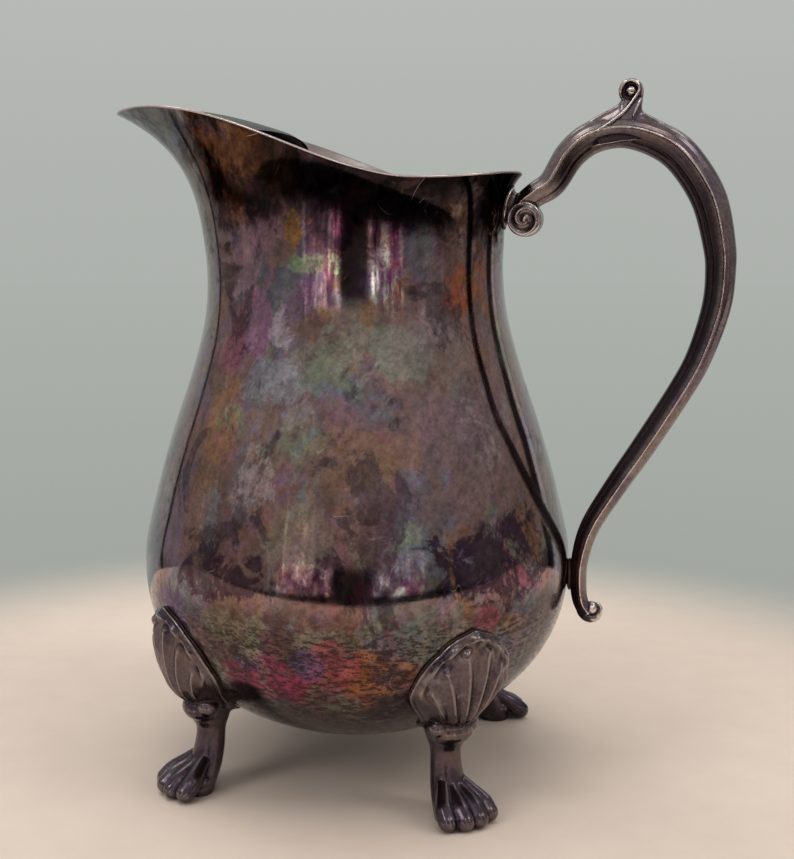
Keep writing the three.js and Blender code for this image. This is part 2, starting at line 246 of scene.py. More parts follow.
# Leg rings: (distance from the axis, height, half depth, half width).
LEG_RINGS = (
    (57.6, 34.5, 6.6, 6.6), (57.8, 31.0, 7.3, 7.3), (57.0, 27.6, 7.3, 7.1),
    (56.6, 24.0, 6.1, 5.9), (56.4, 20.5, 4.8, 4.8), (57.2, 14.0, 5.0, 5.2),
    (59.0, 8.5, 5.5, 6.2), (61.5, 3.0, 5.8, 6.8), (62.3, -1.5, 5.2, 6.2),
)
# Round parts of a foot: (centre, half lengths). The knee has two halves and a knob
# on each side; the last is the instep.
FOOT_ROUNDS = (
    ((58.2, 0, 28.4), (7.8, 7.8, 5.2)), ((52.8, 0, 29.8), (6.6, 6.9, 5.0)),
    ((60.3, 5.6, 29.7), (3.4, 3.2, 3.1)), ((60.3, -5.6, 29.7), (3.4, 3.2, 3.1)),
    ((62.5, 0, 4.8), (6.6, 7.4, 4.4)),
)
TOE_PLACES = (-7.5, -2.5, 2.5, 7.5)
TOE_OUTER_SETBACK = 2.4
# Down a toe: (distance from the axis, share of its place, height, share of the
# setback), and its radii at shares of its length.
TOE_PATH = ((59.0, 0.35, 12.0, 0), (63.2, 0.66, 8.7, 0), (68.2, 0.92, 5.9, 0.7), (71.9, 1, 3.3, 1))
TOE_SHARES = (0, 0.35, 0.75, 1)
TOE_RADII = (2.0, 2.5, 3.15, 3.1)
TOE_STEPS = 22

# Solder: along the upper edge of a foot's shell, round the collar and at the belly.
SEAM_OFFSET = 0.10
SEAM_INSET = -0.20
SEAM_RADIUS = 0.30
COLLAR_SEAM = {"half_width": 5.5, "low": 182.3, "high": 195.7}
COLLAR_SEAM_OFFSET = 0.25
COLLAR_SEAM_RADIUS = 0.4
LOWER_SOLDER = ((72.6, 0, 68.5), (1.1, 2.3, 5.5))

# Castings: voxel of the fusing, clearance from the body, smoothing rounds of the wear and painted
# sheen.
FOOT_VOXEL = 0.3
FOOT_CLEARANCE = 0.1
FOOT_WEAR_AND_SHEEN_REACH = 12
HANDLE_VOXEL = 0.26
HANDLE_CLEARANCE = 0.15
HANDLE_WEAR_AND_SHEEN_REACH = 16
# Wear and painted sheen: the height over which they fade to nothing at the ground, and the
# share of the points, in per cent, that stand out less than full wear and sheen.
WEAR_AND_SHEEN_FADE = 2.5
WEAR_AND_SHEEN_PERCENTILE = 97

# ------ the camera ------

CAMERA_AZIMUTH = -76.8
CAMERA_DISTANCE = 438.9
CAMERA_HEIGHT = 176.4
CAMERA_PITCH = 8.0
CAMERA_LENS = 54.482
CAMERA_SHIFT = 0.04622


def frame_point(x, y, z):
    """A point of the frame, in metres, from millimetres about the body's axis."""
    return Vector(((x + AXIS_X) * MM, y * MM, z * MM))


def view_vector(right, forward, up=0.0):
    """A step to the camera's right, away from it and up, in the frame's directions."""
    azimuth = math.radians(CAMERA_AZIMUTH)
    toward = Vector((-math.cos(azimuth), -math.sin(azimuth), 0))
    rightward = Vector((toward.y, -toward.x, 0))
    return rightward * right + toward * forward + Vector((0, 0, up))


def link(item):
    """Puts an object in the scene and gives it back."""
    bpy.context.scene.collection.objects.link(item)
    return item


def make_camera():
    data = bpy.data.cameras.new("camera")
    data.lens = CAMERA_LENS
    data.shift_x = CAMERA_SHIFT
    camera = link(bpy.data.objects.new("camera", data))
    camera.location = frame_point(0, 0, 0) + view_vector(
        0, -CAMERA_DISTANCE * MM, CAMERA_HEIGHT * MM
    )
    aim = view_vector(0, 1, -math.tan(math.radians(CAMERA_PITCH)))
    camera.rotation_euler = aim.to_track_quat("-Z", "Y").to_euler()
    bpy.context.scene.camera = camera


# ------ mesh tools ------


def add_piece(name, points, faces):
    """An object from millimetre points about the body's axis."""
    points = np.asarray(points, float)
    placed = (points + (AXIS_X, 0, 0)) * MM
    mesh = bpy.data.meshes.new(name)
    mesh.from_pydata(placed.tolist(), [], faces)
    mesh.validate()
    mesh.shade_smooth()
    return link(bpy.data.objects.new(name, mesh))


def full_turn(count):
    """Evenly spaced angles once round."""
    return np.linspace(0, 2 * np.pi, count, endpoint=False)


def loft(rings):
    """Points and faces of a closed body through rings of equal length."""
    rings = np.asarray(rings, float)
    rows, count = rings.shape[:2]
    points = list(rings.reshape(-1, 3))
    faces = []
    for row in range(rows - 1):
        for i in range(count):
            a = row * count + i
            b = row * count + (i + 1) % count
            faces.append((a, b, b + count, a + count))
    for row in (0, rows - 1):
        points.append(rings[row].mean(0))
        centre = len(points) - 1
        for i in range(count):
            a = row * count + i
            b = row * count + (i + 1) % count
            faces.append((centre, b, a) if row == 0 else (centre, a, b))
    return outward(np.array(points), faces)


def outward(points, faces):
    """The same body with its faces turned outwards."""
    volume = 0.0
    for face in faces:
        for i in range(1, len(face) - 1):
            a, b, c = points[face[0]], points[face[i]], points[face[i + 1]]
            volume += float(np.dot(a, np.cross(b, c)))
    return (points, faces) if volume > 0 else (points, [face[::-1] for face in faces])


def join(bodies):
    """Several bodies as one list of points and one of faces."""
    points, faces, start = [], [], 0
    for body_points, body_faces in bodies:
        points.append(body_points)
        faces += [tuple(i + start for i in face) for face in body_faces]
        start += len(body_points)
    return np.concatenate(points), faces


def curve_through(stations, steps):
    """A Catmull-Rom curve through stations of any dimension, with its ends."""
    stations = np.asarray(stations, float)
    before, after = 2 * stations[0] - stations[1], 2 * stations[-1] - stations[-2]
    padded = np.vstack([before, stations, after])
    spots = np.linspace(0, len(stations) - 1, steps)
    index = np.minimum(spots.astype(int), len(stations) - 2)
    t = (spots - index)[:, None]
    p0, p1, p2, p3 = (padded[index + k] for k in range(4))
    return 0.5 * (
        2 * p1
        + (p2 - p0) * t
        + (2 * p0 - 5 * p1 + 4 * p2 - p3) * t**2
        + (3 * p1 - p0 - 3 * p2 + p3) * t**3
    )


END_RINGS = 5
# A direction that no tube starts along, and the least tilt of an ellipsoid's rings.
ASKEW = (0.13, 0.21, 0.97)
POLE_TILT = 0.08


def tube(path, radii, sides=14):
    """A round bar along a path, with a radius at each point and rounded ends."""
    path = np.asarray(path, float)
    radii = np.broadcast_to(np.asarray(radii, float), len(path))
    tangents = np.gradient(path, axis=0)
    tangents /= np.linalg.norm(tangents, axis=1)[:, None]
    side = np.cross(tangents[0], ASKEW)
    rings = []
    angles = full_turn(sides)
    for point, tangent, radius in zip(path, tangents, radii):
        side = side - tangent * np.dot(side, tangent)
        side /= np.linalg.norm(side)
        other = np.cross(tangent, side)
        circle = np.outer(np.cos(angles), side) + np.outer(np.sin(angles), other)
        rings.append(point + radius * circle)
    steps = range(1, END_RINGS + 1)
    start = [rounded_end(rings[0], path[0], -tangents[0], radii[0], k) for k in steps[::-1]]
    end = [rounded_end(rings[-1], path[-1], tangents[-1], radii[-1], k) for k in steps]
    return loft(start + rings + end)


def rounded_end(ring, centre, direction, radius, step):
    """One of the shrinking rings that round off a tube's end."""
    angle = step * math.pi / 2 / (END_RINGS + 1)
    return centre + (ring - centre) * math.cos(angle) + direction * radius * math.sin(angle)


def ellipsoid(centre, halves, sides=20):
    """An ellipsoid, as rings from one pole to the other along Z."""
    rings = []
    angles = full_turn(sides)
    for tilt in np.linspace(POLE_TILT, np.pi - POLE_TILT, sides // 2 + 1):
        circle = np.stack([np.cos(angles), np.sin(angles), np.zeros(sides)], 1)
        circle *= math.sin(tilt)
        circle[:, 2] = math.cos(tilt)
        rings.append(np.asarray(centre) + circle * halves)
    return loft(rings)


def cast(name, bodies, voxel, rounds):
    """Fuses overlapping bodies into one casting with softened joins."""
    piece = add_piece(name, *join(bodies))
    remesh = piece.modifiers.new("fuse", "REMESH")
    remesh.mode = "VOXEL"
    remesh.voxel_size = voxel * MM
    soften = piece.modifiers.new("soften", "SMOOTH")
    soften.factor = 0.5
    soften.iterations = rounds
    bpy.context.view_layer.update()
    shown = piece.evaluated_get(bpy.context.evaluated_depsgraph_get())
    piece.data = bpy.data.meshes.new_from_object(shown)
    piece.modifiers.clear()
    piece.data.name = name
    piece.data.shade_smooth()
    return piece


def read_vertices(piece, what):
    """Three numbers for each point of a piece, such as co or normal."""
    flat = np.empty(len(piece.data.vertices) * 3, np.float32)
    piece.data.vertices.foreach_get(what, flat)
    return flat.reshape(-1, 3).astype(float)


def points_of(piece):
    """A piece's points in millimetres about the body's axis."""
    return read_vertices(piece, "co") / MM - (AXIS_X, 0, 0)


def move_points(piece, points):
    placed = ((points + (AXIS_X, 0, 0)) * MM).astype(np.float32)
    piece.data.vertices.foreach_set("co", placed.ravel())
    piece.data.update()


def store(piece, name, values):
    """Keeps one number for each point, for the materials to read."""
    kept = piece.data.attributes.new(name, "FLOAT", "POINT")
    kept.data.foreach_set("value", np.asarray(values, np.float32))


def mark_wear_and_sheen(piece, reach):
    """Stores how far each point stands out from its neighbours, from -1 to 1.

    The reach is the number of smoothing rounds, which sets the size of the
    ridges and recesses that count."""
    mesh = piece.data
    count = len(mesh.vertices)
    points = points_of(piece)
    edges = np.empty(len(mesh.edges) * 2, np.int32)
    mesh.edges.foreach_get("vertices", edges)
    a, b = edges.reshape(-1, 2).T
    degree = np.bincount(a, minlength=count) + np.bincount(b, minlength=count)
    smooth = points.copy()
    for _ in range(reach):
        total = np.zeros_like(smooth)
        np.add.at(total, a, smooth[b])
        np.add.at(total, b, smooth[a])
        smooth = 0.5 * smooth + 0.5 * total / np.maximum(degree, 1)[:, None]
    height = ((points - smooth) * read_vertices(piece, "normal")).sum(1)
    spread = np.percentile(np.abs(height), WEAR_AND_SHEEN_PERCENTILE)
    fade = np.clip(points[:, 2] / WEAR_AND_SHEEN_FADE, 0, 1)
    store(piece, "wear_and_sheen", np.clip(height / spread, -1, 1) * fade)


# ------ the body's shape ------


def hermite(at, places, values):
    """A smooth curve through values, level at both ends."""
    places, values = np.asarray(places, float), np.asarray(values, float)
    slopes = np.gradient(values, places)
    slopes[0] = slopes[-1] = 0.0
    at = np.clip(at, places[0], places[-1])
    i = np.clip(np.searchsorted(places, at) - 1, 0, len(places) - 2)
    step = places[i + 1] - places[i]
    t = (at - places[i]) / step
    return (
        values[i] * (1 + 2 * t) * (1 - t) ** 2
        + slopes[i] * step * t * (1 - t) ** 2
        + values[i + 1] * t**2 * (3 - 2 * t)
        + slopes[i + 1] * step * t**2 * (t - 1)
    )


def body_radius(z, offset=0.0):
    """Radius of the round part at a height, grown outwards by an offset."""
    z = np.asarray(z, float)
    fall = np.clip((BELLY_HEIGHT - z) / (BELLY_HEIGHT - BOTTOM_POLE + offset), 0, 1)
    cosine = fall ** (LOWER_HEIGHT_POWER / 2)
    sine = np.sqrt(np.maximum(1 - cosine**2, 0))
    lower = (BELLY_RADIUS + offset) * sine ** (2 / LOWER_RADIUS_POWER)
    upper = hermite(z, SIDE_HEIGHTS, SIDE_RADII) + offset
    return np.where(z < BELLY_HEIGHT, lower, upper)


def rim_plan(phi):
    """Plan of the rim: 0 at the handle, pi at the spout."""
    cosine, sine = np.cos(phi), np.sin(phi)
    back = cosine >= 0
    x = np.where(back, RIM_BACK, SPOUT_REACH) * cosine
    y = np.where(back, np.abs(sine), np.abs(sine) ** SPOUT_WIDTH_POWER)
    return x, np.sign(sine) * RIM_HALF_WIDTH * y


def rim_height(x):
    """The rim dips just in front of the handle and climbs in an S to the tip."""
    back = np.clip((x - RIM_LOW_AT) / (RIM_BACK - RIM_LOW_AT), 0, None)
    front = np.clip((RIM_LOW_AT - x) / (RIM_LOW_AT + SPOUT_REACH), 0, 1)
    climb = 1 - (1 - front**RIM_CLIMB_START_POWER) ** RIM_CLIMB_END_POWER
    return RIM_LOW + RIM_BACK_RISE * back**2 + (SPOUT_TIP_HEIGHT - RIM_LOW) * climb


def shell_point(phi, z, offset=0.0):
    """Points of the shell on meridians at heights, grown outwards by an offset."""
    phi, z = np.broadcast_arrays(np.asarray(phi, float), np.asarray(z, float))
    round_radius = body_radius(z, offset)
    rim_x, rim_y = rim_plan(phi)
    frontness = (1 - np.cos(phi)) / 2
    start = FLARE_START_BACK + (FLARE_START_SPOUT - FLARE_START_BACK) * frontness
    rise = np.clip((z - start) / (rim_height(rim_x) - start), 0, None)
    slow = FLARE_SLOW_SHARE * rise**FLARE_SLOW_POWER
    flare = slow + (1 - FLARE_SLOW_SHARE) * rise**FLARE_SHARP_POWER
    x = round_radius * np.cos(phi) * (1 - flare) + (rim_x + offset * np.cos(phi)) * flare
    y = round_radius * np.sin(phi) * (1 - flare) + (rim_y + offset * np.sin(phi)) * flare
    return np.stack([x, y, z], -1)


def shell_rings(offset):
    """Rings of the shell from the flat bottom to the rim."""
    phi = full_turn(MERIDIANS)
    flat = BOTTOM_FLAT - offset
    flat_radius = float(body_radius(flat, offset))
    rings = []
    for share in FLOOR_RINGS:
        ring = np.stack([np.cos(phi), np.sin(phi), np.zeros_like(phi)], -1)
        ring *= share * flat_radius
        ring[:, 2] = flat
        rings.append(ring)
    for i in range(LOWER_RINGS):
        z = flat + (BELLY_HEIGHT - flat) * (i / LOWER_RINGS) ** LOWER_CROWDING
        rings.append(shell_point(phi, z, offset))
    top = rim_height(rim_plan(phi)[0])
    for i in range(UPPER_RINGS + 1):
        share = 1 - (1 - i / UPPER_RINGS) ** UPPER_CROWDING
        rings.append(shell_point(phi, BELLY_HEIGHT + (top - BELLY_HEIGHT) * share, offset))
    return rings


def make_body():
    outer = shell_rings(0)
    inner = shell_rings(-WALL)
    lip = []
    middle = (outer[-1] + inner[-1]) / 2
    for i in range(1, LIP_RINGS):
        angle = math.pi * i / LIP_RINGS
        ring = middle + (outer[-1] - middle) * math.cos(angle)
        ring[:, 2] += WALL * LIP_ROUNDNESS * math.sin(angle)
        lip.append(ring)
    rings = outer + lip + inner[::-1]
    body = add_piece("pitcher_body", *loft(rings))
    body.data.materials.append(tarnished_silver())
    body.data.materials.append(inner_silver())
    inside_from = len(outer) + len(lip) // 2 + 1
    inner_cap = len(rings) * MERIDIANS + 1
    for polygon in body.data.polygons:
        row = polygon.vertices[0] // MERIDIANS
        inner_wall = inside_from <= row < len(rings)
        polygon.material_index = int(inner_wall or inner_cap in polygon.vertices)
    on_lip = np.zeros(len(body.data.vertices), np.float32)
    lip_start = (len(outer) - 1) * MERIDIANS
    on_lip[lip_start : lip_start + (len(lip) + 2) * MERIDIANS] = 1.0
    store(body, "wear_and_sheen", on_lip)
    finish_piece(body, "body_shell")


def mouth_half_width(x, z):
    """Half the clear width inside the mouth at a distance from the axis."""
    near, far = math.pi / 2, math.pi
    for _ in range(HALVINGS):
        middle = (near + far) / 2
        if shell_point(middle, z, -WALL)[0] > x:
            near = middle
        else:
            far = middle
    return float(shell_point(near, z, -WALL)[1])


def make_ice_guard():
    rings = []
    for i in range(-GUARD_STATIONS, GUARD_STATIONS + 1):
        across = i / GUARD_STATIONS
        back = GUARD_BACK + GUARD_TONGUE * (1 - across**2)
        top, under = [], []
        for step in range(GUARD_STEPS + 1):
            share = step / GUARD_STEPS
            x = GUARD_FRONT + (back - GUARD_FRONT) * share
            seat = float(rim_height(x)) - GUARD_DROP
            y = across * mouth_half_width(x, seat - GUARD_THICKNESS)
            z = seat + GUARD_DOME * (1 - across**2)
            edge = min(share, 1 - share) * (back - GUARD_FRONT)
            half = GUARD_THICKNESS / 2
            round_off = half - math.sqrt(max(half**2 - max(half - edge, 0) ** 2, 0))
            top.append((x, y, z - round_off))
            under.append((x, y, z - GUARD_THICKNESS + round_off))
        rings.append(top + under[::-1])
    guard = add_piece("spout_ice_guard", *loft(rings))
    guard.data.materials.append(guard_silver())
    finish_piece(guard, "ice_guard")


# ------ the handle ------


def handle_line(steps):
    """The handle's centre line with its thickness, and the line's directions."""
    line = curve_through(HANDLE_STATIONS, steps)
    tangent = np.gradient(line[:, :2], axis=0)
    return line, tangent / np.linalg.norm(tangent, axis=1)[:, None]


def handle_bar():
    """The bar of the handle, swept along its centre line in the mirror plane."""
    line, tangent = handle_line(BAR_STEPS)
    corners = np.arange(len(HANDLE_SECTION))
    spots = np.linspace(0, corners[-1], SECTION_STEPS * corners[-1] + 1)
    dense = np.stack([np.interp(spots, corners, half) for half in np.transpose(HANDLE_SECTION)], 1)
    section = np.vstack([dense, dense[-2:0:-1] * (1, -1)])
    rings = []
    for (x, z, thickness), (along_x, along_z) in zip(line, tangent):
        out = section[:, 0] * thickness / 2
        across = section[:, 1] * thickness / 2 * HANDLE_WIDTH_RATIO
        rings.append(np.stack([x - along_z * out, across, z + along_x * out], 1))
    return loft(rings)


def scroll(x, z, radius, half_width, pitch, start, relief):
    """A disc across the handle with a spiral ridge on both of its faces."""
    angles = full_turn(SCROLL_SIDES)
    rings = []
    for face in (1, -1):
        face_rings = []
        for r in np.linspace(0.04, 0.93, 26) * radius:
            phase = r / pitch + (angles - start) / (2 * np.pi)
            ridge = 0.5 + 0.5 * np.cos(2 * np.pi * phase)
            fade = min(1.0, r / (0.35 * pitch))
            depth = relief * (1 - fade + fade * ridge**0.7)
            y = face * (half_width - relief / 2 + depth)
            face_rings.append(ring_about_y(x, z, r, y, angles))
        rings += face_rings if face == 1 else face_rings[::-1]
        if face == 1:
            for level in SCROLL_LEVELS:
                rings.append(ring_about_y(x, z, radius, half_width * level, angles))
    return loft(rings)


def ring_about_y(x, z, radius, y, angles):
    level = np.broadcast_to(y, angles.shape)
    return np.stack([x + radius * np.cos(angles), level, z + radius * np.sin(angles)], 1)


def thumb_scroll():
    """A small round end whose faces are sunk round a ball, open at the lower left."""
    x, z = THUMB_SCROLL["x"], THUMB_SCROLL["z"]
    angles = full_turn(THUMB_SIDES)
    away = np.angle(np.exp(1j * (angles - THUMB_NOTCH_ANGLE)))
    notch = THUMB_NOTCH_DEPTH * np.exp(-((away / THUMB_NOTCH_WIDTH) ** 2))
    rings = []
    for share, half_width in THUMB_FACE[::-1]:
        sunk = share < THUMB_SUNK_FROM
        wide = THUMB_RADIUS * share * (1 + notch * sunk)
        rings.append(ring_about_y(x, z, wide, half_width, angles))
    rings += [ring * (1, -1, 1) for ring in rings[::-1]]
    return loft(rings)


def thumb_neck():
    """The waisted neck that carries the thumb scroll and spreads onto the bar."""
    left = curve_through(NECK_LEFT, NECK_LEFT_STEPS)
    right = curve_through(NECK_RIGHT, NECK_RIGHT_STEPS)
    outline = np.vstack([left, right, NECK_FOOT])
    middle = np.array(NECK_MIDDLE)
    mirrored = [(-level, share) for level, share in NECK_LEVELS[:0:-1]]
    rings = []
    for level, shrink in (*mirrored, *NECK_LEVELS):
        flat = middle + (outline - middle) * shrink
        rings.append(np.stack([flat[:, 0], np.full(len(flat), level), flat[:, 1]], 1))
    return loft(rings)


def thumb_lines():
    """The fine raised line that leaves the side ridge and curls round the scroll."""
    path = curve_through(LINE_PATH, LINE_STEPS)
    return [tube(path * (1, mirror, 1), LINE_RADIUS, 8) for mirror in (1, -1)]


def root_collar():
    """The flared collar by which the handle is soldered to the neck."""
    angles = full_turn(COLLAR_SIDES)
    middle = (COLLAR_LOW + COLLAR_HIGH) / 2
    half_height = (COLLAR_HIGH - COLLAR_LOW) / 2
    rings = []
    for share, offset in COLLAR_RINGS:
        z = middle + COLLAR_LIFT * offset + half_height * share * np.sin(angles)
        rings.append(on_belly(COLLAR_HALF_WIDTH * share * np.cos(angles), z, offset))
    return loft(rings)


def make_handle():
    tail = curve_through(TAIL_PATH, TAIL_STEPS)
    bodies = [
        handle_bar(),
        root_collar(),
        scroll(**VOLUTE),
        scroll_ball(VOLUTE, VOLUTE_BALL),
        thumb_neck(),
        thumb_scroll(),
        scroll_ball(THUMB_SCROLL, THUMB_BALL),
        tube(tail, np.linspace(*TAIL_RADII, TAIL_STEPS)),
        scroll_ball(TAIL_BALL, TAIL_BALL_HALVES),
        *thumb_lines(),
    ]
    handle = cast("scroll_handle", bodies, HANDLE_VOXEL, rounds=1)
    keep_off_body(handle, HANDLE_CLEARANCE)
    mark_wear_and_sheen(handle, HANDLE_WEAR_AND_SHEEN_REACH)
    # Painted shade on the bar's side that faces the body, kept for the material.
    store(handle, "inside", painted_inner_shade(handle))
    handle.data.materials.append(cast_silver("handle_silver", HANDLE_TONES))
    finish_piece(handle, "handle")


def painted_inner_shade(handle):
    """Painted shade: 1 on the side of the bar that faces the body, 0 on its back and its ends."""
    points, normals = points_of(handle), read_vertices(handle, "normal")
    line, tangent = handle_line(SIDE_STEPS)
    flat = points[:, [0, 2]]
    nearest = np.concatenate(
        [
            np.hypot(part[:, None, 0] - line[:, 0], part[:, None, 1] - line[:, 1]).argmin(1)
            for part in np.array_split(flat, 40)
        ]
    )
    offset = flat - line[nearest, :2]
    outward_way = np.stack([-tangent[nearest, 1], tangent[nearest, 0]], 1)
    place = (offset * outward_way).sum(1) / (line[nearest, 2] / 2)
    inner = np.clip((INNER_FROM - place) / INNER_FADE, 0, 1)
    past_volute = np.clip((points[:, 0] - PAST_VOLUTE) / PAST_VOLUTE_FADE, 0, 1)
    underneath = np.clip(-1.4 * normals[:, 2] - 0.2, 0, 1)
    return inner * past_volute * (1 - UNDERNEATH_LIGHT * underneath)


def scroll_ball(around, halves):
    return ellipsoid((around["x"], 0, around["z"]), (halves[0], halves[1], halves[0]))


def keep_off_body(piece, clearance):
    """Moves any point that would sink into the body out to its surface."""
    points = points_of(piece)
    phi = np.arctan2(points[:, 1], points[:, 0])
    surface = shell_point(phi, np.clip(points[:, 2], BOTTOM_FLAT, NECK_TOP), clearance)
    limit = np.hypot(surface[:, 0], surface[:, 1])
    radius = np.hypot(points[:, 0], points[:, 1])
    inside = (radius < limit) & (points[:, 2] > BOTTOM_FLAT)
    push = np.where(inside, limit / np.maximum(radius, 1e-6), 1)
    points[:, :2] *= push[:, None]
    move_points(piece, points)


# ------ the feet ------


def shell_half_width(z):
    """Half the width of a foot's shell: a fan that narrows down to the knee."""
    fall = np.clip((SHELL_WIDEST - z) / (SHELL_WIDEST - SHELL_BOTTOM), 0, 1)
    arch = np.clip((z - SHELL_WIDEST) / (SHELL_TOP - SHELL_WIDEST), 0, 1)
    narrowing = (SHELL_HALF_WIDTH - SHELL_ROOT_HALF_WIDTH) * fall**2 * (3 - 2 * fall)
    arched = np.maximum(1 - arch**SHELL_ARCH_POWER, 0) ** SHELL_ARCH_FULLNESS
    return arched * SHELL_HALF_WIDTH - narrowing


def on_belly(across, z, offset):
    """Points off the body's +X side, at distances across and heights."""
    return shell_point(across / body_radius(z), z, offset)


def border_line(inset=0.0):
    """The upper edge of a foot's shell, as (across, height) from side to side."""
    swing = np.linspace(-1, 1, 161)
    top = SHELL_TOP - inset
    z = top - (top - BORDER_BOTTOM) * np.abs(swing) ** SHELL_ARCH_POWER
    across = np.sign(swing) * (shell_half_width(np.minimum(z + inset, SHELL_TOP)) - inset)
    scallop = SCALLOP_DEPTH * np.abs(np.cos(FLUTES * np.pi / 2 * swing)) - SCALLOP_INSET
    return np.stack([across * (1 + scallop / SHELL_HALF_WIDTH), z + scallop], 1)


def shell_border(offset, inset):
    across, z = border_line(inset).T
    return on_belly(across, z, offset)


def shell_relief(across, z):
    """Height of the shell's carving: channels between thin ribs, knobs and pits."""
    angle = np.arctan2(across, z - FAN_ORIGIN) / FAN_HALF_ANGLE
    channel = np.abs(np.sin(FLUTES * np.pi / 2 * (angle + 1)))
    edge = border_line()
    gaps = np.hypot(across[..., None] - edge[:, 0], z[..., None] - edge[:, 1])
    inset = gaps.min(-1)
    rise = np.clip((z - SHELL_BOTTOM) / (SHELL_TOP - SHELL_BOTTOM), 0, 1)
    reach = np.clip(inset / RIB_INSET, 0, 1) * np.clip(0.25 + 2.6 * rise, 0, 1)
    ribs = FLUTE_DEPTH * reach * (0.5 - channel**1.2)
    upper = np.clip((z - CARVED_FROM) / CARVED_FADE, 0, 1)
    knobs = KNOB_HEIGHT * np.exp(-(((inset - KNOB_INSET) / KNOB_SIZE) ** 2)) * channel**2.5
    pits = PIT_DEPTH * np.exp(-((inset - PIT_INSET) ** 2)) * (1 - channel) ** 1.5
    return ribs + upper * (knobs - pits)


def foot_shell():
    """The fan-shaped shell on the belly, carved on its face and flat behind."""
    shares = np.linspace(-1, 1, SHELL_COLUMNS)
    rings = []
    for rise in np.linspace(0, SHELL_LAST_ROW, SHELL_ROWS):
        z = SHELL_BOTTOM + (SHELL_TOP - SHELL_BOTTOM) * rise
        across = shares * float(shell_half_width(z))
        crown = float(np.interp(z, SHELL_PROUD_HEIGHTS, SHELL_PROUD)) * (1 - shares**2) ** 0.9
        height = SHELL_EDGE + crown + shell_relief(across, np.full(SHELL_COLUMNS, z))
        outer = on_belly(across, z, np.maximum(height, SHELL_THINNEST))
        inner = on_belly(across, z, FOOT_CLEARANCE)
        rings.append(np.vstack([outer, inner[::-1]]))
    return loft(rings)


def toe(y):
    """One toe: a ridge from the instep to a rounded tip that turns down."""
    setback = TOE_OUTER_SETBACK * (abs(y) / TOE_PLACES[-1]) ** 2
    stations = [(x - back * setback, share * y, z) for x, share, z, back in TOE_PATH]
    radii = np.interp(np.linspace(0, 1, TOE_STEPS), TOE_SHARES, TOE_RADII)
    return tube(curve_through(stations, TOE_STEPS), radii)


def leg():
    angles = full_turn(LEG_SIDES)
    rings = []
    for x, z, depth, width in curve_through(LEG_RINGS, LEG_STEPS):
        level = np.full(len(angles), z)
        rings.append(np.stack([x + depth * np.cos(angles), width * np.sin(angles), level], 1))
    return loft(rings)


def foot_casting():
    """One foot in its own frame, towards +X from the axis."""
    bodies = [
        foot_shell(),
        tube(shell_border(BORDER_OFFSET, BORDER_INSET), BORDER_RADIUS, 10),
        *[ellipsoid(centre, halves) for centre, halves in FOOT_ROUNDS],
        leg(),
        *[toe(y) for y in TOE_PLACES],
    ]
    foot = cast("foot_master", bodies, FOOT_VOXEL, rounds=2)
    keep_off_body(foot, FOOT_CLEARANCE)
    points = points_of(foot)
    move_points(foot, np.maximum(points, (-np.inf, -np.inf, 0)))
    return foot


def turned(points, degrees):
    """Points turned about the body's axis."""
    angle = math.radians(degrees)
    c, s = math.cos(angle), math.sin(angle)
    x = points[:, 0] * c - points[:, 1] * s
    y = points[:, 0] * s + points[:, 1] * c
    return np.stack([x, y, points[:, 2]], 1)


def make_feet():
    master = foot_casting()
    mark_wear_and_sheen(master, FOOT_WEAR_AND_SHEEN_REACH)
    master.data.materials.append(cast_silver("foot_silver", FOOT_TONES))
    rest = points_of(master)
    for node, angle in FOOT_ANGLES.items():
        foot = link(bpy.data.objects.new("paw_" + node, master.data.copy()))
        move_points(foot, turned(rest, angle))
        finish_piece(foot, node)
        seam = turned(shell_border(SEAM_OFFSET, SEAM_INSET), angle)
        make_seam(node + "_solder", tube(seam, SEAM_RADIUS, 10))
    bpy.data.objects.remove(master)


# ------ the solder seams ------


def make_seam(node, body):
    seam = add_piece("seam_" + node, *body)
    seam.data.materials.append(solder_silver())
    finish_piece(seam, node)


def collar_seam(half_width, low, high):
    """A ring of solder on the neck, round the handle's collar."""
    angles = np.linspace(0, 2 * np.pi, 80)
    z = (low + high) / 2 + (high - low) / 2 * np.sin(angles)
    path = on_belly(half_width * np.cos(angles), z, COLLAR_SEAM_OFFSET)
    return tube(path, COLLAR_SEAM_RADIUS, 12)


def make_handle_seams():
    make_seam("upper_handle_solder", collar_seam(**COLLAR_SEAM))
    make_seam("lower_handle_solder", ellipsoid(*LOWER_SOLDER))


# ------ materials ------

COAT_ROUGHNESS = 0.04
COAT_IOR = 1.7
DEGREES = 180 / math.pi


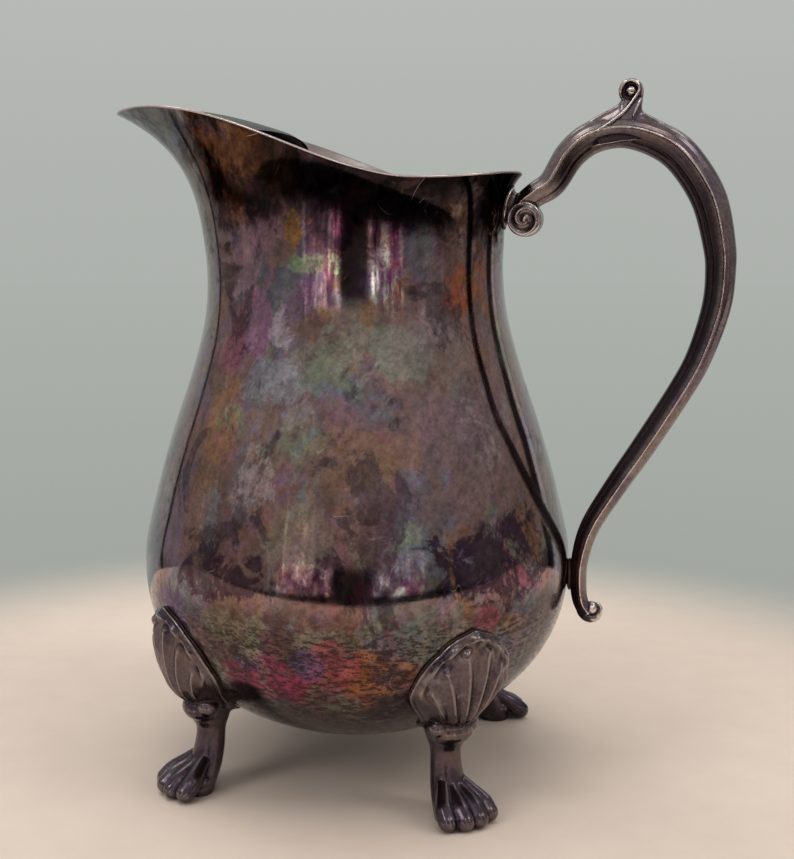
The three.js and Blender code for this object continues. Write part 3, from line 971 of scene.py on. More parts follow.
class Nodes:
    """Small helpers that add nodes to one tree and give back their outputs."""

    def __init__(self, tree):
        self.tree = tree
        tree.nodes.clear()

    def add(self, kind, inputs=(), **settings):
        node = self.tree.nodes.new(kind)
        for key, value in settings.items():
            setattr(node, key, value)
        for socket, value in dict(inputs).items():
            self.feed(node.inputs[socket], value)
        return node

    def feed(self, socket, value):
        if isinstance(value, bpy.types.NodeSocket):
            self.tree.links.new(value, socket)
        elif socket.type == "RGBA":
            socket.default_value = (*value, 1)
        else:
            socket.default_value = value

    def place(self):
        return self.add("ShaderNodeTexCoord").outputs["Object"]

    def stored(self, name):
        return self.add("ShaderNodeAttribute", attribute_name=name).outputs["Fac"]

    def math(self, operation, a, b=0.0):
        return self.add("ShaderNodeMath", {0: a, 1: b}, operation=operation).outputs[0]

    def times(self, a, b):
        return self.math("MULTIPLY", a, b)

    def plus(self, a, b):
        return self.math("ADD", a, b)

    def minus(self, a, b):
        return self.math("SUBTRACT", a, b)

    def dot(self, a, b):
        node = self.add("ShaderNodeVectorMath", {0: a, 1: b}, operation="DOT_PRODUCT")
        return node.outputs["Value"]

    def wrapped(self, angle):
        """An angle brought back between -180 and 180 degrees."""
        inputs = {0: angle, 1: 180.0, 2: -180.0}
        return self.add("ShaderNodeMath", inputs, operation="WRAP").outputs[0]

    def step(self, value, low, high):
        """0 below low, 1 above high, and smooth between."""
        node = self.add(
            "ShaderNodeMapRange",
            {0: value, 1: low, 2: high, 3: 0.0, 4: 1.0},
            interpolation_type="SMOOTHSTEP",
        )
        return node.outputs[0]

    def band(self, value, low, high, soft):
        """1 between two values and 0 outside them, with soft edges."""
        rise = self.step(value, low - soft, low + soft)
        return self.times(rise, self.step(value, high + soft, high - soft))

    def blend(self, share, a, b):
        node = self.add("ShaderNodeMix", {0: share, 2: a, 3: b}, data_type="FLOAT")
        return node.outputs[0]

    def mix(self, share, a, b):
        return self.add("ShaderNodeMix", {0: share, 6: a, 7: b}, data_type="RGBA").outputs[2]

    def over(self, colour, tone, mask, strength):
        """A colour with a tone laid over it where the mask is 1."""
        return self.mix(self.times(mask, strength), colour, tone)

    def scaled(self, colour, share):
        inputs = {0: colour, "Scale": share}
        return self.add("ShaderNodeVectorMath", inputs, operation="SCALE").outputs[0]

    def varied(self, colour, value, low, high, least, most):
        """A colour scaled from least to most as the value goes from low to high."""
        return self.scaled(colour, self.blend(self.step(value, low, high), least, most))

    def clouds(self, vector, upright, scale, detail, rough, warp=0.0, shift=(0, 0, 0)):
        """Noise, drawn out upright if the first number is below 1."""
        mapping = {"Vector": vector, "Scale": (1, 1, upright), "Location": shift}
        inputs = {
            "Vector": self.add("ShaderNodeMapping", mapping).outputs[0],
            "Scale": scale,
            "Detail": detail,
            "Roughness": rough,
            "Distortion": warp,
        }
        return self.add("ShaderNodeTexNoise", inputs).outputs[0]

    def spots(self, colour, place, layer, share=1.0, extra=0.0):
        """A colour with one layer of spots over it, thinned out by a share."""
        clouds, low, high, strength, tone = layer
        value = self.plus(self.clouds(place, *clouds), extra)
        return self.over(colour, tone, self.times(self.step(value, low, high), share), strength)

    def ramp(self, value, stops):
        node = self.add("ShaderNodeValToRGB", {0: value})
        band = node.color_ramp
        while len(band.elements) > 1:
            band.elements.remove(band.elements[-1])
        band.elements[0].position = stops[0][0]
        band.elements[0].color = (*stops[0][1], 1)
        for place, colour in stops[1:]:
            band.elements.new(place).color = (*colour, 1)
        return node.outputs[0]

    def bump(self, height, strength, distance, below=None):
        """A normal from a height, on top of another normal if one is given."""
        inputs = {"Height": height, "Strength": strength, "Distance": distance}
        if below is not None:
            inputs["Normal"] = below
        return self.add("ShaderNodeBump", inputs).outputs[0]

    def silver(self, colour, roughness, normal, coat=0.0, edge_on=(1, 1, 1)):
        """A metal, under a clear film of tarnish if coat is above 0."""
        inputs = {
            "Base Color": colour,
            "Roughness": roughness,
            "Metallic": 1.0,
            "Specular Tint": edge_on,
            "Coat Weight": coat,
            "Coat Roughness": COAT_ROUGHNESS,
            "Coat IOR": COAT_IOR,
            "Normal": normal,
        }
        shader = self.add("ShaderNodeBsdfPrincipled", inputs).outputs[0]
        self.add("ShaderNodeOutputMaterial", {0: shader})

    def either(self, share, a, b):
        return self.add("ShaderNodeMixShader", {0: share, 1: a, 2: b}).outputs[0]

    def seen_or_mirrored(self, seen, mirrored):
        """One shader for the camera and another for what the silver mirrors."""
        camera_ray = self.add("ShaderNodeLightPath").outputs["Is Camera Ray"]
        return self.either(camera_ray, mirrored, seen)


def new_material(name):
    material = bpy.data.materials.new(name)
    material.use_nodes = True
    return material, Nodes(material.node_tree)


# Interference colours of silver tarnish, in the order in which they follow each
# other as the film thickens.
TARNISH_BANDS = (
    (0.00, (0.42, 0.38, 0.35)),
    (0.16, (0.34, 0.28, 0.23)),
    (0.30, (0.27, 0.20, 0.16)),
    (0.40, (0.29, 0.18, 0.17)),
    (0.48, (0.24, 0.17, 0.21)),
    (0.56, (0.19, 0.19, 0.23)),
    (0.64, (0.22, 0.24, 0.21)),
    (0.74, (0.28, 0.26, 0.19)),
    (0.86, (0.28, 0.18, 0.14)),
    (1.00, (0.12, 0.08, 0.09)),
)

# Tints of stray patches all round the body: (shift and scale of their noise, colour).
STRAY_TINTS = (
    (0.35, 44, (0.40, 0.19, 0.25)),
    (1.15, 40, (0.19, 0.25, 0.27)),
    (1.95, 50, (0.26, 0.30, 0.20)),
    (2.75, 46, (0.38, 0.22, 0.13)),
    (3.55, 38, (0.27, 0.20, 0.30)),
)
BODY_SATURATION = 1.3

# Patches on the body: (degrees round from the handle, height, half width in
# degrees, half height, colour, strength), painted in this order.
BODY_PATCHES = (
    (-60, 150, 26, 26, (0.27, 0.22, 0.19), 0.55),
    (-84, 148, 16, 16, (0.30, 0.29, 0.23), 0.60),
    (-62, 144, 12, 9, (0.30, 0.31, 0.27), 0.60),
    (-122, 176, 9, 17, (0.42, 0.30, 0.36), 0.65),
    (-124, 146, 6, 10, (0.36, 0.16, 0.22), 0.75),
    (-113, 153, 7, 11, (0.46, 0.26, 0.38), 0.65),
    (-103, 152, 6, 7, (0.58, 0.50, 0.55), 0.75),
    (-106, 136, 13, 7, (0.33, 0.34, 0.37), 0.65),
    (-122, 122, 8, 11, (0.36, 0.22, 0.15), 0.70),
    (-104, 124, 9, 6, (0.29, 0.21, 0.16), 0.65),
    (-106, 106, 7, 12, (0.52, 0.46, 0.45), 0.60),
    (-118, 88, 4, 16, (0.34, 0.37, 0.40), 0.65),
    (-132, 88, 5, 16, (0.32, 0.25, 0.33), 0.60),
    (-124, 98, 6, 16, (0.35, 0.22, 0.17), 0.50),
    (-93, 156, 9, 12, (0.20, 0.13, 0.12), 0.85),
    (-105, 178, 9, 8, (0.30, 0.21, 0.18), 0.75),
    (-112, 182, 7, 9, (0.40, 0.24, 0.30), 0.60),
    (-92, 171, 13, 4, (0.36, 0.47, 0.29), 0.75),
    (-100, 181, 3, 6, (0.50, 0.30, 0.14), 0.70),
    (-68, 168, 8, 9, (0.27, 0.30, 0.32), 0.55),
    (-51, 158, 11, 14, (0.31, 0.25, 0.27), 0.55),
    (-38, 163, 7, 10, (0.44, 0.16, 0.11), 0.70),
    (-26, 168, 5, 11, (0.46, 0.20, 0.12), 0.65),
    (-60, 128, 30, 7, (0.22, 0.15, 0.16), 0.55),
    # Painted reflection: a dark band round the belly where it mirrors the dark beyond the table.
    (-38, 83, 22, 14, (0.050, 0.032, 0.048), 0.92),
    (-112, 79, 15, 9, (0.060, 0.040, 0.055), 0.85),
    (-85, 81, 8, 8, (0.070, 0.040, 0.060), 0.80),
    (-94, 119, 11, 7, (0.25, 0.23, 0.17), 0.55),
    (-72, 113, 16, 10, (0.34, 0.21, 0.15), 0.50),
    (-44, 108, 14, 16, (0.25, 0.18, 0.17), 0.55),
    (-92, 92, 8, 14, (0.30, 0.28, 0.23), 0.50),
    (-122, 206, 20, 14, (0.50, 0.29, 0.20), 0.80),
    (-112, 212, 5, 5, (0.70, 0.36, 0.20), 0.60),
    (-126, 190, 9, 7, (0.34, 0.17, 0.11), 0.70),
    # Painted reflection: dark bands under the rim where it mirrors the dark above.
    (-70, 200, 44, 8, (0.055, 0.040, 0.050), 0.88),
    (-60, 189, 16, 9, (0.055, 0.040, 0.050), 0.85),
    (-86, 186, 9, 11, (0.055, 0.040, 0.060), 0.80),
    (-34, 196, 26, 7, (0.060, 0.045, 0.050), 0.75),
    (-104, 198, 9, 7, (0.20, 0.13, 0.08), 0.60),
    (-132, 64, 8, 7, (0.26, 0.15, 0.36), 0.60),
    (-110, 63, 9, 6, (0.27, 0.27, 0.19), 0.55),
    (-101, 47, 13, 9, (0.50, 0.15, 0.24), 0.80),
    (-106, 52, 4, 4, (0.16, 0.14, 0.34), 0.60),
    (-84, 61, 9, 5, (0.30, 0.29, 0.24), 0.55),
    (-73, 49, 10, 11, (0.56, 0.27, 0.16), 0.80),
    (-83, 53, 7, 9, (0.52, 0.20, 0.24), 0.70),
    (-90, 54, 5, 5, (0.14, 0.13, 0.30), 0.55),
    (-60, 62, 9, 7, (0.20, 0.26, 0.19), 0.50),
    (-44, 66, 4, 4, (0.42, 0.16, 0.20), 0.50),
    (-34, 62, 5, 4, (0.34, 0.22, 0.10), 0.55),
    (-84, 32, 34, 6, (0.16, 0.10, 0.11), 0.50),
    (60, 120, 34, 36, (0.30, 0.22, 0.22), 0.45),
    (110, 160, 18, 22, (0.34, 0.22, 0.28), 0.50),
    (100, 96, 26, 20, (0.24, 0.22, 0.24), 0.50),
    (70, 150, 14, 10, (0.30, 0.30, 0.24), 0.50),
    # Painted reflection: the dark band under the rim, on the far side.
    (95, 194, 60, 8, (0.07, 0.05, 0.06), 0.75),
    (150, 110, 14, 30, (0.34, 0.24, 0.18), 0.50),
    (172, 150, 12, 20, (0.28, 0.26, 0.27), 0.45),
    (60, 50, 30, 12, (0.40, 0.20, 0.18), 0.50),
    (130, 56, 22, 9, (0.24, 0.17, 0.32), 0.50),
)

# A stretch where the film is even, given like a patch, and the lean of all strokes.
CALM_PATCH = (-46, 116, 22, 27)
CALM_STRENGTH = 0.75
CALM_TONE = (0.215, 0.160, 0.170)
STROKE_LEAN = (math.radians(38), math.radians(-24), 0)

# How far the edges of the patches wander, and where a patch starts and is full.
PATCH_RAGGEDNESS = 6.0
PATCH_RIM = 1.0
PATCH_CORE = 0.55

# Clouds of noise: upright stretch, scale, detail, roughness, distortion, shift.
BROAD_CLOUDS = (0.6, 20, 4, 0.55, 0.8)
BLOTCH_CLOUDS = (0.6, 70, 8, 0.66, 0.7)
BROWN_CLOUDS = (0.7, 58, 8, 0.62, 0.4, (0.3, 0.1, 0.2))
EDGE_CLOUDS = (1, 85, 9, 0.72, 0.5)

# Layers of spots: their clouds, where a spot starts and is full, strength, colour.
BROWN_SPOTS = (BROWN_CLOUDS, 0.47, 0.54, 0.60, (0.215, 0.160, 0.135))
DARK_SPOTS = ((0.8, 44, 9, 0.70, 0.6, (0.1, 0.5, 0.4)), 0.545, 0.60, 0.70, (0.075, 0.052, 0.060))
RUBBED_SPOTS = ((0.7, 40, 9, 0.68, 0.5, (0.6, 0.2, 0.7)), 0.585, 0.635, 0.42, (0.44, 0.40, 0.39))
STRAY_SPOTS = [
    ((0.75, scale, 9, 0.70, 0.5, (shift, shift / 3, shift / 2)), 0.575, 0.63, 0.55, tint)
    for shift, scale, tint in STRAY_TINTS
]

# Light and dark strokes: their clouds, from and to which value, least and most.
STROKES = ((0.16, 170, 6, 0.7), 0.34, 0.66, 0.80, 1.20)
DRIPS = ((0.10, 150, 4, 0.6), 0.35, 0.65, 0.90, 1.10)
GRAIN = ((1, 420, 6, 0.8), 0.36, 0.64, 0.74, 1.26)
CAST_GRAIN = ((1, 800, 4, 0.65), 0.34, 0.66, 0.82, 1.18)

# The flare under the rim has a painted reflection of the dark above: heights between
# which it darkens, how much stays of the colour, and between which degrees the spout is spared.
FLARE_FROM = 172
FLARE_FULL = 194
FLARE_RAGGEDNESS = 10.0
FLARE_LIGHT = 0.26
FLARE_DARK = 0.07
FLARE_EDGE_TONE = (0.20, 0.16, 0.15)
SPOUT_FROM = 136
SPOUT_FULL = 143
SPOUT_SHARE = 0.25
# Painted shade: what is left of the colour below the belly, where the silver mirrors the table.
BELOW_BELLY_SHARE = 0.52

SPECK_TONE = (0.035, 0.026, 0.028)
SCRATCH_TONE = (0.60, 0.56, 0.54)
LIP_TONE = (0.80, 0.68, 0.63)
DEEP_TONE = (0.09, 0.08, 0.08)
INNER_TONES = (
    (0.3, (0.44, 0.41, 0.39)), (0.5, (0.32, 0.28, 0.26)), (0.7, (0.20, 0.16, 0.15)),
)
GUARD_TONES = (
    (0.3, (0.09, 0.08, 0.085)), (0.5, (0.045, 0.036, 0.040)), (0.72, (0.02, 0.016, 0.02)),
)
SOLDER_TONES = (
    (0.3, (0.05, 0.03, 0.025)), (0.55, (0.09, 0.06, 0.045)), (0.75, (0.16, 0.12, 0.10)),
)

# Tones of the castings: recesses, dark with tarnish and painted shade; faces; worn ridges with a
# painted highlight; and stains.
HANDLE_TONES = (
    (0.032, 0.024, 0.030), (0.225, 0.190, 0.190), (0.78, 0.70, 0.66), (0.115, 0.080, 0.125),
)
FOOT_TONES = (
    (0.034, 0.024, 0.034), (0.135, 0.106, 0.114), (0.26, 0.22, 0.22), (0.045, 0.032, 0.058),
)
CAST_BROWN = (0.200, 0.145, 0.110)
CAST_PALE = (0.300, 0.275, 0.275)
CAST_GLOSS = 0.13


def around_body(nodes):
    """Place on the body: its vector in metres, degrees from the handle, height in mm."""
    place = nodes.place()
    x, y, z = nodes.add("ShaderNodeSeparateXYZ", {0: place}).outputs
    angle = nodes.math("ARCTAN2", y, nodes.minus(x, AXIS_X * MM))
    return place, nodes.times(angle, DEGREES), nodes.math("DIVIDE", z, MM)


def patch_mask(nodes, degrees, height, ragged, patch):
    """A soft oval with a ragged edge at a place on the body."""
    centre, middle, half_angle, half_height = patch[:4]
    u = nodes.math("DIVIDE", nodes.wrapped(nodes.minus(degrees, centre)), half_angle)
    v = nodes.math("DIVIDE", nodes.minus(height, middle), half_height)
    squares = nodes.plus(nodes.times(u, u), nodes.times(v, v))
    return nodes.step(nodes.plus(squares, ragged), PATCH_RIM, PATCH_CORE)


def varied_by(nodes, colour, place, strokes):
    """A colour made lighter and darker by one kind of strokes."""
    clouds, *levels = strokes
    return nodes.varied(colour, nodes.clouds(place, *clouds), *levels)


def body_mottling(nodes, place, degrees, height):
    """The colours of the film: broad bands, patches, spots and strokes, with painted shade and
    reflections.
    """
    blotches = nodes.clouds(place, *BLOTCH_CLOUDS)
    broad = nodes.times(nodes.clouds(place, *BROAD_CLOUDS), 0.95)
    film = nodes.minus(nodes.plus(broad, nodes.times(blotches, 0.75)), 0.42)
    colour = nodes.ramp(film, TARNISH_BANDS)
    colour = nodes.spots(colour, place, BROWN_SPOTS)
    edge = nodes.clouds(place, *EDGE_CLOUDS)
    ragged = nodes.times(nodes.minus(edge, 0.5), PATCH_RAGGEDNESS)
    calm = patch_mask(nodes, degrees, height, ragged, CALM_PATCH)
    lively = nodes.minus(1.0, nodes.times(calm, CALM_STRENGTH))
    colour = nodes.over(colour, CALM_TONE, calm, CALM_STRENGTH)
    for patch in BODY_PATCHES:
        mask = patch_mask(nodes, degrees, height, ragged, patch)
        colour = nodes.over(colour, patch[4], mask, patch[5])
    for layer in STRAY_SPOTS:
        colour = nodes.spots(colour, place, layer, lively)
    inputs = {"Color": colour, "Saturation": BODY_SATURATION}
    colour = nodes.add("ShaderNodeHueSaturation", inputs).outputs[0]
    more_above = nodes.times(nodes.step(height, 150, 190), 0.05)
    colour = nodes.spots(colour, place, DARK_SPOTS, lively, more_above)
    colour = nodes.spots(colour, place, RUBBED_SPOTS)
    inputs = {"Vector": place, "Rotation": STROKE_LEAN}
    aslant = nodes.add("ShaderNodeMapping", inputs).outputs[0]
    colour = varied_by(nodes, colour, aslant, STROKES)
    colour = varied_by(nodes, colour, place, DRIPS)
    colour = varied_by(nodes, colour, place, GRAIN)
    # Painted reflection of the dark above on the flare, spared towards the spout.
    shadow = nodes.plus(height, nodes.times(ragged, FLARE_RAGGEDNESS))
    spout = nodes.step(nodes.math("ABSOLUTE", degrees), SPOUT_FROM, SPOUT_FULL)
    flare = nodes.step(shadow, FLARE_FROM, FLARE_FULL)
    flare = nodes.times(flare, nodes.blend(spout, 1.0, SPOUT_SHARE))
    brown = nodes.step(nodes.clouds(place, *BROWN_CLOUDS), 0.42, 0.58)
    kept = nodes.blend(brown, FLARE_LIGHT, FLARE_DARK)
    colour = nodes.scaled(colour, nodes.blend(flare, 1.0, kept))
    # Painted shade below the belly.
    colour = nodes.varied(colour, height, 76, 66, 1.0, BELOW_BELLY_SHARE)
    return colour, blotches, flare


def hairlines(nodes, place):
    """A few fine pale scratches: thin contour lines of noise, broken up by more."""
    lines = nodes.clouds(place, 0.8, 30, 2, 0.5, 1.5, (0.9, 0.3, 0.2))
    off = nodes.math("ABSOLUTE", nodes.minus(lines, 0.5))
    thin = nodes.step(off, 0.0022, 0.0008)
    return nodes.times(thin, nodes.step(nodes.clouds(place, 1, 36, 3, 0.6), 0.58, 0.62))


def tarnished_silver():
    material, nodes = new_material("tarnished_silver")
    place, degrees, height = around_body(nodes)
    colour, blotches, flare = body_mottling(nodes, place, degrees, height)
    low_down = nodes.step(height, 72, 60)
    speckle = nodes.clouds(place, 2.6, 340, 7, 0.76)
    specks = nodes.times(nodes.step(speckle, 0.49, 0.54), low_down)
    stains = nodes.step(nodes.clouds(place, 1, 260, 5, 0.7, 0.5), 0.62, 0.72)
    dark = nodes.math("MAXIMUM", specks, nodes.times(stains, 0.45))
    colour = nodes.over(colour, SPECK_TONE, dark, 0.85)
    lines = hairlines(nodes, place)
    colour = nodes.over(colour, SCRATCH_TONE, lines, 0.45)
    # Painted highlight: the rim's lip is paler, and rougher.
    lip = nodes.stored("wear_and_sheen")
    colour = nodes.mix(nodes.step(lip, 0.3, 0.9), colour, LIP_TONE)
    rough = nodes.blend(nodes.step(blotches, 0.40, 0.68), 0.065, 0.15)
    for mask, more in ((dark, 0.12), (low_down, 0.05), (lip, 0.15)):
        rough = nodes.plus(rough, nodes.times(mask, more))
    waves = nodes.bump(nodes.clouds(place, 1, 22, 2, 0.5), 0.22, 0.0012)
    relief = nodes.plus(nodes.clouds(place, 1, 1500, 2, 0.5), lines)
    normal = nodes.bump(relief, 0.05, 0.0002, waves)
    edge_on = nodes.mix(flare, (1, 1, 1), FLARE_EDGE_TONE)
    film = nodes.add("ShaderNodeRGBToBW", {0: colour}).outputs[0]
    coat = nodes.blend(nodes.step(film, 0.05, 0.16), 0.04, 0.45)
    nodes.silver(colour, rough, normal, coat, edge_on)
    return material


def inner_silver():
    """The inside: duller, greyer, and darker towards the bottom."""
    material, nodes = new_material("inner_silver")
    place, _, height = around_body(nodes)
    clouds = nodes.clouds(place, 1, 38, 5, 0.6, 0.5)
    colour = nodes.ramp(clouds, INNER_TONES)
    colour = nodes.over(colour, DEEP_TONE, nodes.step(height, 190, 60), 0.5)
    nodes.silver(colour, nodes.blend(clouds, 0.22, 0.42), nodes.bump(clouds, 0.15, 0.0006))
    return material


def guard_silver():
    """The ice guard: almost black, with a few lighter spots."""
    material, nodes = new_material("guard_silver")
    place = nodes.place()
    clouds = nodes.clouds(place, 1, 90, 5, 0.6, 0.5)
    normal = nodes.bump(nodes.clouds(place, 1, 900, 3, 0.6), 0.1, 0.0002)
    nodes.silver(nodes.ramp(clouds, GUARD_TONES), nodes.blend(clouds, 0.25, 0.45), normal)
    return material


def cast_silver(name, tones):
    """Plated castings: dark in the recesses with tarnish and painted shade, painted shade on the
    handle's side that faces the body, and rubbed bright on the ridges with a painted highlight.
    """
    material, nodes = new_material(name)
    place = nodes.place()
    wear_and_sheen = nodes.stored("wear_and_sheen")
    inside = nodes.stored("inside")
    uneven = nodes.minus(nodes.clouds(place, 1, 130, 6, 0.65, 0.6), 0.5)
    level = nodes.plus(wear_and_sheen, nodes.times(uneven, 0.45))
    recess, colour, ridge, stain = tones
    for shift, scale, low, high, strength, tint in (
        (0.0, 60, 0.47, 0.60, 0.60, stain),
        (0.4, 75, 0.50, 0.62, 0.45, CAST_BROWN),
        (0.8, 52, 0.54, 0.64, 0.50, CAST_PALE),
    ):
        clouds = (1, scale, 5, 0.6, 0.0, (shift, shift / 2, shift))
        colour = nodes.spots(colour, place, (clouds, low, high, strength, tint))
    colour = varied_by(nodes, colour, place, CAST_GRAIN)
    height = nodes.add("ShaderNodeSeparateXYZ", {0: place}).outputs[2]
    paws = nodes.step(height, 31 * MM, 10 * MM)
    colour = nodes.over(colour, stain, paws, 0.55)
    # Painted shade on the side of the bar that faces the body.
    colour = nodes.over(colour, recess, nodes.step(inside, 0.1, 0.9), 0.9)
    # Darker in the recesses: tarnish with painted shade.
    colour = nodes.over(colour, recess, nodes.step(level, -0.10, -0.8), 0.85)
    ridges = nodes.minus(level, nodes.times(inside, 0.6))
    # Worn ridges with a painted highlight along them, less on the side that faces the body.
    colour = nodes.mix(nodes.step(ridges, 0.35, 0.80), colour, ridge)
    fine = nodes.clouds(place, *CAST_GRAIN[0])
    rough = nodes.blend(nodes.step(level, -0.4, 0.9), CAST_GLOSS + 0.10, CAST_GLOSS)
    rough = nodes.plus(rough, nodes.times(fine, 0.08))
    nodes.silver(colour, rough, nodes.bump(fine, 0.10, 0.0002))
    return material


def solder_silver():
    if "solder_silver" in bpy.data.materials:
        return bpy.data.materials["solder_silver"]
    material, nodes = new_material("solder_silver")
    clouds = nodes.clouds(nodes.place(), 1, 320, 4, 0.6)
    rough = nodes.blend(clouds, 0.35, 0.55)
    nodes.silver(nodes.ramp(clouds, SOLDER_TONES), rough, nodes.bump(clouds, 0.3, 0.0003))
    return material


def finish_piece(piece, node):
    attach(piece, "root")
    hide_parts(node)


# ------ the studio ------

# Floor, seen by the camera: cloth near the pitcher that sweeps up into the backdrop.
FLOOR_RADIUS = 6000.0
SWEEP_START = 190.0
SWEEP_END = 330.0
CLOTH_TONES = ((0.47, 0.390, 0.330), (0.54, 0.452, 0.385))
CLOTH_ROUGHNESS = 0.8
BACKDROP_LOW = (0.350, 0.372, 0.342)
BACKDROP_MIDDLE = (0.425, 0.445, 0.420)
BACKDROP_TOP = (0.520, 0.535, 0.510)

# Table, seen only by the mirrors: distances of its edges from the axis, and the
# half widths of their softness.
TABLE_FRONT = -330.0
TABLE_BACK = 180.0
TABLE_FRONT_SOFT = 8
TABLE_BACK_SOFT = 1

# What the silver mirrors, in degrees: bearings run from straight behind the pitcher,
# to the right if positive. A pair is where a fade starts and where it is full, and
# a pair of tones is what it fades from and to.
ROOM_TONES = ((0.30, 0.27, 0.26), (0.50, 0.48, 0.47))
ROOM_RISE = (2, 30)
LOW_TONES = ((0.22, 0.20, 0.19), (0.045, 0.036, 0.044))
SKYLINE_SCALE = 0.11
SKYLINE_HEIGHT = 16.0
WALL_TONES = ((0.50, 0.53, 0.51), (0.36, 0.38, 0.36))
WALL_RISE = (40, -10)
WALL_EDGE = (53.0, 52.2)
GAP_START = (52.2, 52.8)
GAP_SOFT = 0.6
GAP_RISE = (-42, -18)
GAP_TONE = (0.01, 0.01, 0.012)
# Upright stripes at the wall's right end: from, to, soft edge, strength, colour.
WALL_STRIPES = (
    (47.2, 52.0, 0.3, 0.6, (0.66, 0.69, 0.68)),
    (46.2, 47.0, 0.3, 0.75, (0.05, 0.05, 0.05)),
)
WINDOW_SOFT = 2.5
WINDOW_FOOT = (-9, -5)
WINDOW_HEAD = (20, 1)
PANE_TONES = (
    (0.44, (0.05, 0.04, 0.05)),
    (0.48, (0.85, 0.15, 0.65)),
    (0.52, (0.16, 0.20, 0.12)),
    (0.56, (1.30, 1.30, 1.00)),
    (0.62, (4.80, 4.70, 4.30)),
)
PIER_HEAD = (14, 9)
PIER_TONE = (0.045, 0.038, 0.042)
# Lamps that only the castings mirror, as they are higher than the body's sides
# look: (bearing, elevation, half width).
HIGH_LAMPS = ((176, 52, 6), (-128, 46, 9), (118, 48, 8), (-40, 50, 7), (55, 50, 7))
LAMP_SOFT = 1.5
LAMP_TONE = (4.5, 4.4, 4.3)
BACKDROP_RISE = (-2, 22)
# Left and right: tops of the low dark things, bearings from which they darken and
# over how much, ends of the gap beside the wall, windows, edges of the pier.
LOW_TOPS = (2.0, 3.0)
LOW_DARK_FROM = (98, 88)
LOW_DARK_OVER = (55, 12)
GAP_ENDS = (55.5, 60.5)
WINDOWS = ((-167, -139), (146, 172))
PIER_EDGES = (167, 172)

# Soft lights that the silver doesn't mirror: millimetres to the right, away from
# the camera and up from the pitcher's middle, size, power, colour.
LIGHTS = {
    "overhead": (-100, -50, 1500, (1500, 1300), 22, (1.0, 0.98, 0.96)),
    "window_left": (-1100, -900, 700, (600, 800), 7, (0.96, 0.98, 1.0)),
    "window_right": (1300, -600, 900, (500, 700), 5, (1.0, 0.97, 0.93)),
}
LIT_HEIGHT = 100


def make_floor():
    """A pale floor that sweeps up into the backdrop; mirrors see a table with edges."""
    mesh = bpy.data.meshes.new("floor")
    ring = [turned_point(FLOOR_RADIUS, angle) for angle in range(0, 360, 5)]
    mesh.from_pydata(ring, [], [tuple(range(len(ring)))])
    floor = link(bpy.data.objects.new("floor", mesh))
    material, nodes = new_material("floor")
    place = nodes.place()
    inputs = {0: place, 1: (-AXIS_X * MM, 0, 0)}
    from_axis = nodes.add("ShaderNodeVectorMath", inputs, operation="ADD").outputs[0]
    length = nodes.add("ShaderNodeVectorMath", {0: from_axis}, operation="LENGTH")
    radius = length.outputs["Value"]
    pale = nodes.mix(nodes.clouds(place, 1, 60, 4, 0.6), *CLOTH_TONES)
    inputs = {"Base Color": pale, "Roughness": CLOTH_ROUGHNESS}
    cloth = nodes.add("ShaderNodeBsdfPrincipled", inputs).outputs[0]
    start = (CAMERA_DISTANCE + SWEEP_START) * MM
    far = nodes.plus(radius, CAMERA_DISTANCE * MM)
    height = nodes.minus(1.0, nodes.math("DIVIDE", start, far))
    tone = nodes.mix(height, BACKDROP_LOW, BACKDROP_MIDDLE)
    sweep = nodes.add("ShaderNodeEmission", {0: tone}).outputs[0]
    share = nodes.step(radius, SWEEP_START * MM, SWEEP_END * MM)
    seen = nodes.either(share, cloth, sweep)
    away = nodes.math("DIVIDE", nodes.dot(from_axis, view_vector(0, 1)), MM)
    front = nodes.step(away, TABLE_FRONT - TABLE_FRONT_SOFT, TABLE_FRONT + TABLE_FRONT_SOFT)
    back = nodes.step(away, TABLE_BACK + TABLE_BACK_SOFT, TABLE_BACK - TABLE_BACK_SOFT)
    gone = nodes.add("ShaderNodeBsdfTransparent").outputs[0]
    mirrored = nodes.either(nodes.times(front, back), gone, cloth)
    both = nodes.seen_or_mirrored(seen, mirrored)
    nodes.add("ShaderNodeOutputMaterial", {0: both})
    mesh.materials.append(material)


def turned_point(radius, degrees):
    """A point of the ground in metres, round the frame's origin."""
    angle = math.radians(degrees)
    return radius * MM * math.cos(angle), radius * MM * math.sin(angle), 0


def mirrored_room(nodes, direction, bearing, elevation, right_side):
    """The dim room on the camera's side, with dark things below an uneven skyline."""
    aside = nodes.math("ABSOLUTE", bearing)
    room = nodes.mix(nodes.step(elevation, *ROOM_RISE), *ROOM_TONES)
    room = nodes.scaled(room, nodes.blend(nodes.clouds(direction, 1, 3.0, 3, 0.5), 0.8, 1.2))
    inputs = {0: nodes.times(bearing, SKYLINE_SCALE)}
    around = nodes.add("ShaderNodeCombineXYZ", inputs).outputs[0]
    skyline = nodes.times(nodes.clouds(around, 1, 1.0, 4, 0.6), SKYLINE_HEIGHT)
    over = nodes.minus(nodes.plus(elevation, skyline), nodes.blend(right_side, *LOW_TOPS))
    past = nodes.minus(aside, nodes.blend(right_side, *LOW_DARK_FROM))
    low_share = nodes.step(past, 0, nodes.blend(right_side, *LOW_DARK_OVER))
    return nodes.mix(nodes.step(over, 1.5, -1.5), room, nodes.mix(low_share, *LOW_TONES))


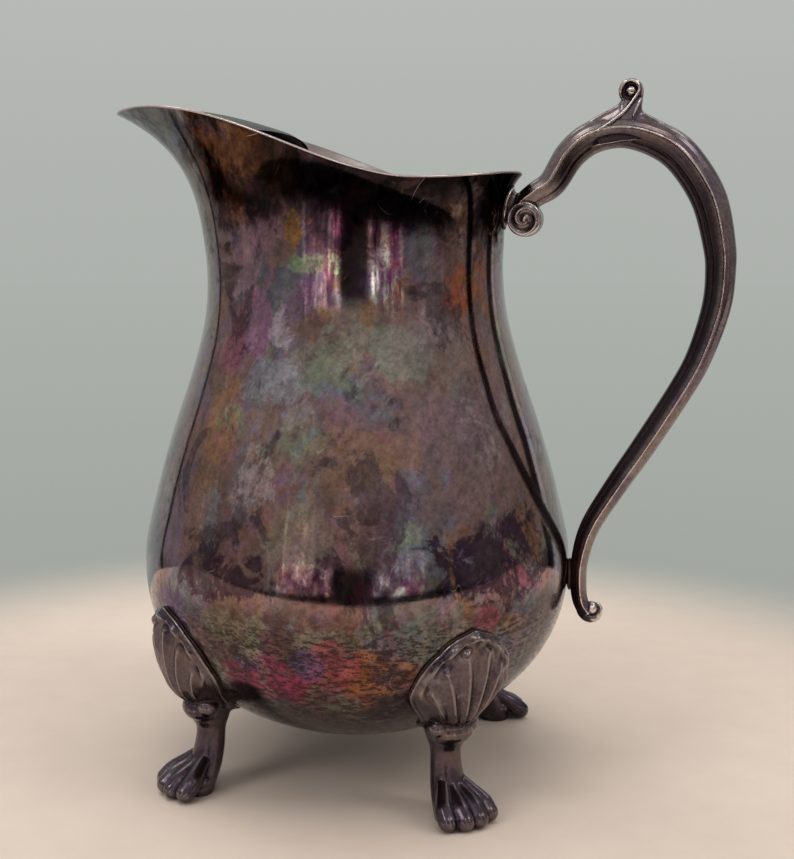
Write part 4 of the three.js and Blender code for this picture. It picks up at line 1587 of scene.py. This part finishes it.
def mirrored_wall(nodes, room, bearing, elevation, right_side):
    """The wall behind the pitcher, with a dark gap at its ends and upright stripes."""
    aside = nodes.math("ABSOLUTE", bearing)
    wall = nodes.mix(nodes.step(elevation, *WALL_RISE), *WALL_TONES)
    colour = nodes.mix(nodes.step(aside, *WALL_EDGE), room, wall)
    gap_over = nodes.minus(aside, nodes.blend(right_side, *GAP_ENDS))
    gap = nodes.times(nodes.step(aside, *GAP_START), nodes.step(gap_over, GAP_SOFT, -GAP_SOFT))
    gap = nodes.times(gap, nodes.step(elevation, *GAP_RISE))
    colour = nodes.over(colour, GAP_TONE, gap, 0.94)
    for start, end, soft, strength, tone in WALL_STRIPES:
        colour = nodes.over(colour, tone, nodes.band(bearing, start, end, soft), strength)
    return colour


def mirrored_lights(nodes, colour, bearing, elevation, right_side):
    """Two windows in the room, a dark pier between them and high lamps."""
    inputs = {0: bearing, 1: nodes.times(elevation, 0.12)}
    streaks = nodes.add("ShaderNodeCombineXYZ", inputs).outputs[0]
    panes = nodes.ramp(nodes.clouds(streaks, 1, 0.55, 5, 0.7), PANE_TONES)
    for left, right in WINDOWS:
        tall = nodes.times(nodes.step(elevation, *WINDOW_FOOT), nodes.step(elevation, *WINDOW_HEAD))
        window = nodes.times(nodes.band(bearing, left, right, WINDOW_SOFT), tall)
        colour = nodes.mix(window, colour, panes)
    aside = nodes.math("ABSOLUTE", bearing)
    behind = nodes.step(nodes.minus(aside, nodes.blend(right_side, *PIER_EDGES)), -1, 1)
    pier = nodes.times(behind, nodes.step(elevation, *PIER_HEAD))
    colour = nodes.mix(pier, colour, PIER_TONE)
    for lamp_bearing, lamp_elevation, half in HIGH_LAMPS:
        off = nodes.wrapped(nodes.minus(bearing, lamp_bearing))
        across = nodes.times(off, math.cos(math.radians(lamp_elevation)))
        over = nodes.minus(elevation, lamp_elevation)
        squares = nodes.plus(nodes.times(across, across), nodes.times(over, over))
        lamp = nodes.step(nodes.math("SQRT", squares), half + LAMP_SOFT, half - LAMP_SOFT)
        colour = nodes.mix(lamp, colour, LAMP_TONE)
    return colour


def make_world():
    """A pale studio; what the silver mirrors is a wall behind and a dim room in front."""
    world = bpy.data.worlds.new("studio")
    bpy.context.scene.world = world
    world.use_nodes = True
    nodes = Nodes(world.node_tree)
    direction = nodes.add("ShaderNodeTexCoord").outputs["Generated"]
    right = nodes.dot(direction, view_vector(1, 0))
    forward = nodes.dot(direction, view_vector(0, 1))
    up = nodes.add("ShaderNodeSeparateXYZ", {0: direction}).outputs[2]
    bearing = nodes.times(nodes.math("ARCTAN2", right, forward), DEGREES)
    elevation = nodes.times(nodes.math("ARCSINE", up), DEGREES)
    right_side = nodes.step(bearing, 0, 1)
    colour = mirrored_room(nodes, direction, bearing, elevation, right_side)
    colour = mirrored_wall(nodes, colour, bearing, elevation, right_side)
    colour = mirrored_lights(nodes, colour, bearing, elevation, right_side)
    mirrored = nodes.add("ShaderNodeBackground", {0: colour, 1: 1.0}).outputs[0]
    rise = nodes.step(elevation, *BACKDROP_RISE)
    backdrop = nodes.mix(rise, BACKDROP_MIDDLE, BACKDROP_TOP)
    seen = nodes.add("ShaderNodeBackground", {0: backdrop, 1: 1.0}).outputs[0]
    nodes.add("ShaderNodeOutputWorld", {0: nodes.seen_or_mirrored(seen, mirrored)})


def make_lights():
    middle = frame_point(0, 0, LIT_HEIGHT)
    for name, (right, forward, up, size, power, colour) in LIGHTS.items():
        data = bpy.data.lights.new(name, "AREA")
        data.shape = "RECTANGLE"
        data.size, data.size_y = size[0] * MM, size[1] * MM
        data.energy = power
        data.color = colour
        light = link(bpy.data.objects.new(name, data))
        light.location = middle + view_vector(right * MM, forward * MM, up * MM)
        light.rotation_euler = (middle - light.location).to_track_quat("-Z", "Y").to_euler()
        light.visible_glossy = False


def main():
    make_camera()
    make_body()
    make_ice_guard()
    make_handle()
    make_feet()
    make_handle_seams()
    make_floor()
    make_world()
    make_lights()
    bpy.context.scene.view_settings.view_transform = "Standard"


main()
